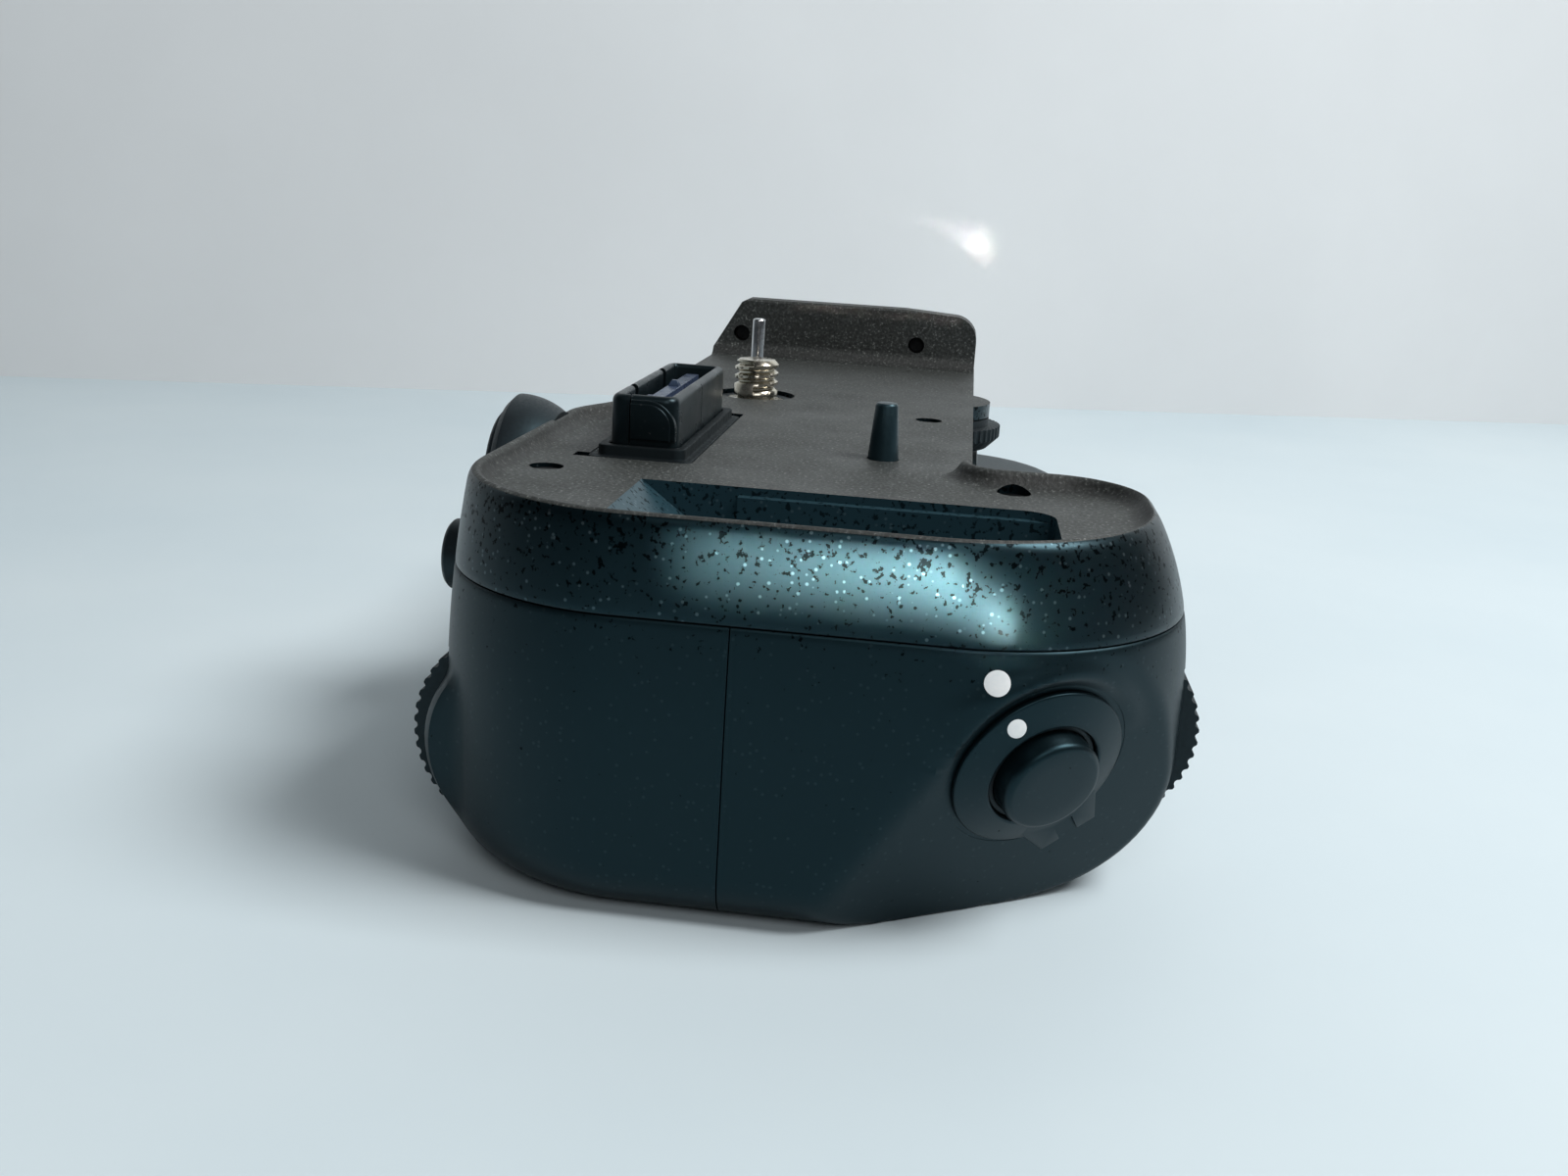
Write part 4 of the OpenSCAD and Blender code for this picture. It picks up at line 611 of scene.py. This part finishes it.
# Screws of the base, tripod socket, battery chamber with its contacts, and the boards: the inner
# works of steel, plastic and brass, carried by the chamber and the casings. They keep the shapes of
# the frame, with their edges broken.
def finish(node, body, slot, material, width):
    # A copy of a solid of the frame, merged, with its sharp edges rounded off
    bm = bmesh.new()
    bm.from_mesh(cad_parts[node].data)
    bmesh.ops.remove_doubles(bm, verts=bm.verts, dist=1e-6)
    bmesh.ops.dissolve_limit(bm, angle_limit=math.radians(1.5), verts=bm.verts, edges=bm.edges)
    sharp = [e for e in bm.edges if e.is_manifold and e.calc_face_angle(0) > math.radians(30)]
    bmesh.ops.bevel(bm, geom=sharp, offset=width * mm, offset_type="OFFSET", affect="EDGES", segments=2,
                    profile=0.5, material=-1, clamp_overlap=True)
    bmesh.ops.recalc_face_normals(bm, faces=bm.faces)
    return dress(as_object(node + "_piece", bm), body, slot, material, node)


def metal(name, dark, light, rough, scale):
    mat, tree, shader, place = nodes_of(name, light, rough)
    shader.inputs["Metallic"].default_value = 1
    cloud = noise(tree, place, scale, 4)
    tint(tree, shader, cloud, [(0.25, dark), (0.75, light)])
    roughen(tree, shader, cloud, rough - 0.07, rough + 0.1)
    return mat


# Very dark: partly dark steel, partly painted shade of the holes the screws are sunk in
dark_steel_and_hole_shade = metal("dark_screw", (0.012, 0.0125, 0.013), (0.03, 0.031, 0.032), 0.5, 900)
bright_steel = metal("bright_steel", (0.55, 0.56, 0.58), (0.78, 0.79, 0.8), 0.2, 700)
nickel = metal("warm_nickel", (0.5, 0.46, 0.38), (0.74, 0.69, 0.58), 0.22, 500)
brass = metal("contact_brass", (0.5, 0.36, 0.13), (0.72, 0.53, 0.22), 0.3, 600)
inner_black = moulded("inner_plastic", (0.012, 0.0125, 0.0135), (0.02, 0.0205, 0.0215),
                      0.55, 2200, 0.2)
board_green = moulded("board_green", (0.008, 0.032, 0.018), (0.012, 0.05, 0.028), 0.4, 1500, 0.15)

finish("base_screws", "grip", "dark_screw", dark_steel_and_hole_shade, 0.15)
finish("tripod_socket", "grip", "steel", bright_steel, 0.15)
finish("battery_chamber", "grip", "inner_plastic", inner_black, 0.2)
finish("chamber_contacts", "grip", "brass", brass, 0.1)
for board in ("main_board", "shutter_board", "rear_button_board"):
    finish(board, "grip", "board", board_green, 0.05)


# Battery tray: a moulded holder for the round cells, with brass studs at its inner end and, at its
# outer end, the end cover that closes the casing and the turning latch that locks it.
finish("battery_tray", "tray", "inner_plastic", inner_black, 0.15)
finish("tray_contacts", "tray", "brass", brass, 0.1)
finish("end_cover", "tray", "casing", casing_black, 0.4)
finish("cover_latch", "latch", "control_black", inner_black, 0.25)


# Rubber hand grip: a pebbled pad for the fingers, moulded to the swell of the front casing and
# glued into a shallow recess there. Its edges are rounded off.
def round_edges(obj, chosen, width, segments):
    bm = bmesh.new()
    bm.from_mesh(obj.data)
    edges = [e for e in bm.edges if chosen(e)]
    bmesh.ops.bevel(bm, geom=edges, offset=width * mm, offset_type="OFFSET", affect="EDGES",
                    segments=segments, profile=0.5, material=-1)
    bm.to_mesh(obj.data)
    bm.free()


rubber_black, tree, shader, place = nodes_of("pebbled_rubber", (0.012, 0.0125, 0.013), 0.66)
pebbles = level(tree, cell_pattern(tree, place, 620)["Distance"], 0, 0.9, 1, 0)
fine = noise(tree, place, 2400, 2)
tint(tree, shader, fine, [(0.3, (0.009, 0.0095, 0.01)), (0.7, (0.018, 0.0185, 0.019))])
first = bump(tree, shader, fine, 0.2, 0.00006)
bump(tree, shader, pebbles, 0.55, 0.00035, first)
pad = prism(rubber_profile(0.0, 0.9), "X", -46, 40.3, "hand_grip_pad")
round_edges(pad, lambda e: e.calc_face_angle(0) > math.radians(50), 0.3, 3)
dress(pad, "grip", "grip_rubber", rubber_black, "grip_rubber")


# Shutter release: a lock ring with a finger tab turns round the button on the slanted facet.
# The ring is moulded, the button slides in a bush behind the facet, and two white dots are printed on.
def spun(name, profile, at, steps):
    # A turned piece: a profile of radius and height swept round an upright axis
    bm = bmesh.new()
    verts = [bm.verts.new((r * mm, 0, h * mm)) for r, h in profile]
    edges = [bm.edges.new(pair) for pair in zip(verts, verts[1:])]
    bmesh.ops.spin(bm, geom=verts + edges, cent=(0, 0, 0), axis=up_z, angle=2 * math.pi, steps=steps,
                   use_merge=True)
    bmesh.ops.remove_doubles(bm, verts=bm.verts, dist=1e-6)
    bmesh.ops.recalc_face_normals(bm, faces=bm.faces)
    bmesh.ops.translate(bm, verts=bm.verts, vec=Vector((*at, 0)) * mm)
    return as_object(name, bm)


def rounded_top(r, top, edge, turns):
    # The upper edge of a turned piece: part of a circle from its side up to its top
    return [(r - edge + edge * math.sin(a), top - edge + edge * math.cos(a)) for a in turns]


ring_r, ring_bore_r, ring_foot, ring_top = 8.6, 5.45, 0.15, 1.5
tab_r, tab_top, tab_turn = 10.5, 0.8, math.radians(34.6)
at_shutter = Matrix.Translation(shutter_at * mm) @ shutter_out.to_4x4()
section = [(ring_bore_r, ring_foot), (ring_r, ring_foot), (ring_r, 0.4), (ring_r - 0.03, 0.5)]
section += [(ring_r - 0.1, 0.58), (ring_r - 0.22, 0.63)]
section += [(5.85, ring_top - 0.02), (5.7, ring_top), (5.56, ring_top - 0.05)]
section += [(ring_bore_r, ring_top - 0.2), (ring_bore_r, ring_foot)]
ring = spun("lock_ring", section, (0, 0), 160)
tab = prism([(6.6, -4.2), (tab_r, -3.0), (tab_r, 3.0), (6.6, 4.2)], "Z", ring_foot, tab_top)
round_edges(tab, lambda e: all(v.co.z > 0.5 * mm for v in e.verts), 0.15, 2)
carve(tab, [box((8.4, -1, 0.4), (12, 1, 3))])
tab.data.transform(Matrix.Rotation(tab_turn, 4, "Z"))
carve(ring, [tab], "UNION")
carve(ring, [rod((0, 0, -2), up_z, ring_bore_r, 8)])
ring.data.transform(at_shutter)
release_black = satin_black("release_black", 0.38, 90, 100, 0.05)
dress(ring, "lock_ring", "control_black", release_black, "shutter_lock_ring")

button_r, button_top, stem_r = 4.85, 3.4, 2
section = [(0, -6), (stem_r, -6), (stem_r, -1.6), (button_r, -1.6)]
section += rounded_top(button_r, button_top - 0.05, 0.7, (1.57, 1.25, 0.95, 0.65, 0.35, 0.08))
section += [(2.6, button_top - 0.01), (0, button_top)]
button = spun("release_button", section, (0, 0), 128)
button.data.transform(at_shutter)
dress(button, "release", "control_black", release_black, "shutter_button")
finish("shutter_bush", "grip", "inner_plastic", inner_black, 0.1)

white_paint, tree, shader, place = nodes_of("white_paint", (0.94, 0.95, 0.95), 0.5)
tint(tree, shader, noise(tree, place, 2500, 3), [(0.3, (0.9, 0.92, 0.92)), (0.7, (0.97, 0.97, 0.96))])


def printed_dot(name, on, centre, toward, r, body, slot):
    # A round of paint laid on a surface: each ring of the disc is dropped onto it
    bm = bmesh.new()
    bmesh.ops.create_circle(bm, cap_ends=True, segments=40, radius=r * mm)
    for thick in (0.25, 0.3, 0.5):
        bmesh.ops.inset_region(bm, faces=[max(bm.faces, key=lambda f: len(f.verts))], use_boundary=True,
                               thickness=thick * r * mm / 1.25)
    turn = Vector(up_z).rotation_difference(toward).to_matrix().to_4x4()
    bmesh.ops.transform(bm, verts=bm.verts, matrix=Matrix.Translation(centre) @ turn)
    for v in bm.verts:
        _, at, normal, _ = on.ray_cast(v.co + toward * 0.01, -toward)
        lift = 0.005 if v.is_boundary else 0.03
        v.co = at + normal * lift * mm
    dress(as_object(name, bm), body, slot, white_paint)


def on_facet(r, degrees):
    a = math.radians(degrees)
    return at_shutter @ Vector((r * math.cos(a) * mm, r * math.sin(a) * mm, 0))


bpy.context.view_layer.update()
outward = Vector((1, 0.1, 0.1)).normalized()
printed_dot("ring_dot", ring, on_facet(7.15, -142), facet_normal, 0.88, "lock_ring", "control_black")
printed_dot("casing_dot", front_casing, on_facet(12.1, -144.6), outward, 1.15, "grip", "casing")


# Control dials: two wheels moulded with ridges all round, for the thumb and the finger. Each turns
# on a steel axle that is held between two cheeks of its casing.
grooves, groove_r, dial_bore_r = 48, 0.45, 1.53


def ridged_dial(name, at, r, w):
    bm = bmesh.new()
    bmesh.ops.create_circle(bm, cap_ends=True, segments=grooves * 10, radius=r * mm)
    for v in bm.verts:
        turn = math.atan2(v.co.y, v.co.x) * grooves / (2 * math.pi)
        aside = (turn - round(turn)) * 2 * math.pi * r / grooves
        inside = groove_r * groove_r - aside * aside
        if inside > 0:
            v.co *= 1 - max(math.sqrt(inside) - 0.1, 0) / r
    push(bm, bm.faces[:][0], (0, 0, w))
    for side in [f for f in bm.faces if len(f.verts) > 100]:
        bmesh.ops.inset_region(bm, faces=[side], thickness=0.3 * mm, depth=0)
    on_its_side = Matrix.Translation(at * mm) @ Matrix.Rotation(math.pi / 2, 4, "Y")
    bmesh.ops.transform(bm, verts=bm.verts, matrix=on_its_side)
    dial = as_object(name, bm)
    return carve(dial, [rod(at - Vector(out_x), out_x, dial_bore_r, w + 2, steps=48)])


dial_black = moulded("dial_black", (0.0085, 0.009, 0.01), (0.014, 0.0145, 0.0155), 0.55, 1800, 0.25)
dial = ridged_dial("rear_dial_wheel", main_dial_at, main_dial_r, main_dial_w)
dress(dial, "rear_dial", "dial_black", dial_black, "main_dial")
dial = ridged_dial("front_dial_wheel", sub_dial_at, sub_dial_r, sub_dial_w)
dress(dial, "front_dial", "dial_black", dial_black, "sub_dial")
finish("main_dial_axle", "grip", "steel", bright_steel, 0.1)
finish("sub_dial_axle", "grip", "steel", bright_steel, 0.1)


# Rear controls: a round button in its bezel, and the multi selector, whose pad rocks on a gimbal ring
# inside a round housing. All are moulded, and sit in seats let into both casings across their seam.
control_black = moulded("control_black", (0.009, 0.0105, 0.0125), (0.014, 0.016, 0.018),
                        0.44, 2800, 0.22)
finish("rear_button", "thumb_button", "control_black", control_black, 0.3)
finish("rear_button_bezel", "grip", "control_black", control_black, 0.15)
finish("selector_housing", "grip", "control_black", control_black, 0.35)
finish("selector_gimbal", "gimbal", "inner_plastic", inner_black, 0.1)
finish("selector_pad", "pad", "dial_black", dial_black, 0.2)


# Camera fixing: the attachment wheel turns the mounting screw through an idler gear under the plate.
# The screw is plated brass with a camera thread, the pin is steel and the peg is moulded.
finish("attachment_wheel", "wheel", "dial_black", dial_black, 0.12)
finish("wheel_axle", "grip", "steel", bright_steel, 0.1)
finish("idler_gear", "idler", "brass", brass, 0.05)
finish("idler_axle", "grip", "steel", bright_steel, 0.1)
finish("screw_bush", "grip", "inner_plastic", inner_black, 0.1)

screw_r, pitch, thread_depth, thread_turns, steps_a_turn = 3.175, 1.27, 0.62, 3, 48
screw = finish("mounting_screw", "camera_screw", "nickel", nickel, 0.05)
groove_bm = bmesh.new()
thread_r, thread_z = screw_r - thread_depth, plate_z + 0.9
flank = [(screw_r + 0.3, -0.62), (thread_r, -0.1), (thread_r, 0.1), (screw_r + 0.3, 0.62)]
face = groove_bm.faces.new([groove_bm.verts.new((r * mm, 0, (thread_z + h) * mm)) for r, h in flank])
bmesh.ops.spin(groove_bm, geom=[face], cent=(0, 0, 0), axis=up_z, dvec=(0, 0, pitch * mm / steps_a_turn),
               angle=2 * math.pi * thread_turns, steps=steps_a_turn * thread_turns)
bmesh.ops.recalc_face_normals(groove_bm, faces=groove_bm.faces)
carve(screw, [as_object("cutter", groove_bm)])
smooth(screw)

foot_z, pin_foot_r, pin_r, pin_top = 33.7, 1.2, 0.95, 46.3
section = [(0, foot_z), (pin_foot_r, foot_z), (pin_foot_r, plate_z - 0.15), (pin_r, plate_z - 0.05)]
section += rounded_top(pin_r, pin_top, 0.35, (1.57, 1.1, 0.6, 0)) + [(0, pin_top)]
pin = spun("locating_pin_piece", section, pin_at, 48)
dress(pin, "grip", "steel", bright_steel, "locating_pin")
peg_foot_r, peg_r, peg_top = 1.8, 1.32, 43
section = [(0, foot_z), (peg_foot_r, foot_z), (peg_foot_r, plate_z)]
section += rounded_top(peg_r, peg_top, 0.4, (1.4, 1.0, 0.5, 0)) + [(0, peg_top)]
peg = spun("locating_peg_piece", section, peg_at, 64)
# The peg's colour, bluer and lighter than the other moulded blacks, is partly its own black and partly a
# painted sheen
peg_black = moulded("peg_black", (0.007, 0.015, 0.019), (0.01, 0.02, 0.025), 0.36, 2800, 0.1, 0.55)
dress(peg, "grip", "control_black", peg_black, "locating_peg")


# Signal connector: a half-gloss black housing on the main board, with a contact tongue inside it and a
# rubber seal round its foot. Its end carries a raised key with one rounded corner.
connector_black, tree, shader, place = nodes_of("connector_black", (0.004, 0.006, 0.007), 0.36)
dust = noise(tree, place, 1600, 2)
tint(tree, shader, dust, [(0, (0.003, 0.006, 0.0075)), (0.7, (0.005, 0.0085, 0.01)),
                          (0.8, (0.08, 0.085, 0.09))])
roughen(tree, shader, noise(tree, place, 300, 3), 0.26, 0.36)
shader.inputs["Specular IOR Level"].default_value = 0.3
# The blue of its colour and of its specular tint is a painted reflection of the bluish surroundings; the
# light specks are dust
shader.inputs["Specular Tint"].default_value = (0.6, 0.88, 1, 1)
tongue_blue = moulded("contact_tongue", (0.02, 0.03, 0.06), (0.05, 0.07, 0.12), 0.3, 900, 0.15)
seal_black = moulded("seal_rubber", (0.003, 0.0035, 0.004), (0.008, 0.0085, 0.009),
                     0.6, 1400, 0.3, 0.2)
connector_end_x = 55.5


def connector_ring(z, inset):
    low, high = (23.9 + inset, -8.4 + inset), (connector_end_x - inset, -0.8 - inset)
    return [Vector((x, y, z)) * mm for x, y in round_rect(low, high, 1.6 - inset, 8)]


def key_step(high, r, out):
    # One step of the key on the connector's end, with its top corner rounded off
    (y0, z0), (y1, z1) = (-6.0, 38.4), high
    outline = [(y0, z0), (y1, z0)] + arc(y1 - r, z1 - r, r, 0, 90, 12) + [(y0, z1)]
    step = prism(outline, "X", connector_end_x - 0.7, connector_end_x + out)
    round_edges(step, lambda e: all(v.co.x > (connector_end_x - 0.2) * mm for v in e.verts), 0.14, 3)
    return step


shell_steps = [(33, 0), (42.4, 0), (42.7, 0.06), (42.95, 0.2), (43.12, 0.4), (43.2, 0.68)]
room_steps = [(36.9, 1.4), (37.1, 1.2), (42.7, 1.2), (42.95, 1.12), (43.12, 0.98), (43.22, 0.72)]
room_steps += [(44, 0.72)]
housing = as_object("connector_shell", loft([connector_ring(z, inset) for z, inset in shell_steps]))
carve(housing, [key_step((-0.95, 42.75), 3.1, 0.22)], "UNION")
carve(housing, [key_step((-1.5, 42.35), 2.5, 0.44)], "UNION")
carve(housing, [as_object("cutter", loft([connector_ring(z, inset) for z, inset in room_steps])),
                box((53.8, -6.17, 37.9), (57, -6.03, 44)), box((40.5, -1.02, 37.7), (40.72, 0, 44)),
                box((30.9, -8.6, 40.8), (32.5, -7.0, 44)), box((46.5, -8.6, 40.8), (48.1, -7.0, 44))])
dress(housing, "grip", "connector_black", connector_black, "connector_housing")
tongue = finish("connector_contacts", "grip", "contact_tongue", tongue_blue, 0.06)
for x in (52.2, 38.4):
    bm = bmesh.new()
    bmesh.ops.create_cone(bm, cap_ends=True, segments=4, radius1=1.05 * mm, radius2=0.9 * mm,
                          depth=3.4 * mm)
    roof = max(bm.faces, key=lambda f: f.calc_center_median().z)
    bmesh.ops.inset_region(bm, faces=[roof], thickness=0.5 * mm, depth=0.6 * mm)
    bmesh.ops.rotate(bm, verts=bm.verts, cent=(0, 0, 0), matrix=Matrix.Rotation(math.pi / 4, 3, "Z"))
    bmesh.ops.translate(bm, verts=bm.verts, vec=Vector((x, -4.6, 40.6)) * mm)
    carve(tongue, [as_object("cutter", bm)], "UNION")
smooth(tongue)
finish("connector_seal", "grip", "seal_rubber", seal_black, 0.35)


# Screws of the plate and of the far wall: dark steel, sunk below the surface, painted very dark partly as
# painted shade of the holes they sit in. The plate's screws hold it down to the posts of the casings.
finish("plate_screws", "grip", "dark_screw", dark_steel_and_hole_shade, 0.12)
finish("wall_screws", "grip", "dark_screw", dark_steel_and_hole_shade, 0.12)


# Table, lamps and camera: a pale table top in front of a pale wall, a large soft lamp above on the
# right, a weaker one in front, and two low narrow ones that only give the painted band its sheen.
# The camera stands where the photo was taken.
floor_bm = bmesh.new()
bmesh.ops.create_grid(floor_bm, x_segments=2, y_segments=2, size=3)
floor = as_object("table_top", floor_bm)
backdrop_bm = bmesh.new()
bmesh.ops.create_grid(backdrop_bm, x_segments=2, y_segments=2, size=3)
facing = Vector((0.95, 0.312, 0))
turn = Vector(up_z).rotation_difference(facing).to_matrix().to_4x4()
stood_up = Matrix.Translation((-0.249, -0.02, 0)) @ turn
bmesh.ops.transform(backdrop_bm, verts=backdrop_bm.verts, matrix=stood_up)
backdrop = as_object("back_wall", backdrop_bm)


def pale(name, low, high):
    mat, tree, shader, place = nodes_of(name, low, 0.7)
    tint(tree, shader, noise(tree, place, 9, 5), [(0.3, low), (0.7, high)])
    return mat


floor.data.materials.append(pale("table_white", (0.6, 0.7, 0.745), (0.66, 0.75, 0.785)))
backdrop.data.materials.append(pale("wall_white", (0.74, 0.76, 0.77), (0.79, 0.81, 0.82)))

world = bpy.data.worlds.new("studio")
bpy.context.scene.world = world
world.use_nodes = True
sky = world.node_tree.nodes["Background"]
sky.inputs["Color"].default_value = (0.72, 0.78, 0.84, 1)
sky.inputs["Strength"].default_value = 0.06


def lamp(name, at, to, size, power, spread=180, colour=(1, 1, 1)):
    light = bpy.data.lights.new(name, "AREA")
    light.shape = "RECTANGLE"
    light.size, light.size_y = size
    light.energy = power
    light.spread = math.radians(spread)
    light.color = colour
    obj = bpy.data.objects.new(name, light)
    bpy.context.scene.collection.objects.link(obj)
    obj.location = Vector(at)
    obj.rotation_euler = (Vector(to) - Vector(at)).to_track_quat("-Z", "Y").to_euler()


flash_white = (1, 0.88, 0.8)
lamp("low_flash", (0.5, 0.06, 0.0175), (0.09, 0.032, 0.0352), (0.05, 0.004), 0.0014, 1.2, flash_white)
lamp("corner_flash", (0.47, 0.2, 0.0175), (0.086, 0.041, 0.0325), (0.024, 0.004), 0.00045, 1, flash_white)
lamp("front_softbox", (0.5, 0.12, 0.4), (0.0, 0.01, 0.03), (0.3, 0.3), 0.7)
lamp("side_softbox", (0.1, 0.5, 0.66), (0.03, 0.03, 0), (0.35, 0.35), 4.5, 150)

camera = bpy.data.objects.new("photo_camera", bpy.data.cameras.new("photo_camera"))
bpy.context.scene.collection.objects.link(camera)
camera.data.lens = 33.75
camera.data.sensor_width = 36
camera.data.clip_start = 0.005
right = Vector((-0.1257, 0.990, 0.0588)).normalized()
back = Vector((0.958, 0.1058, 0.2664)).normalized()
up = back.cross(right)
turn = Matrix((right, up, back)).transposed()
camera.matrix_world = Matrix.Translation((0.2127, 0.0294, 0.0667)) @ turn.to_4x4()
bpy.context.scene.camera = camera
bpy.context.scene.view_settings.view_transform = "Standard"
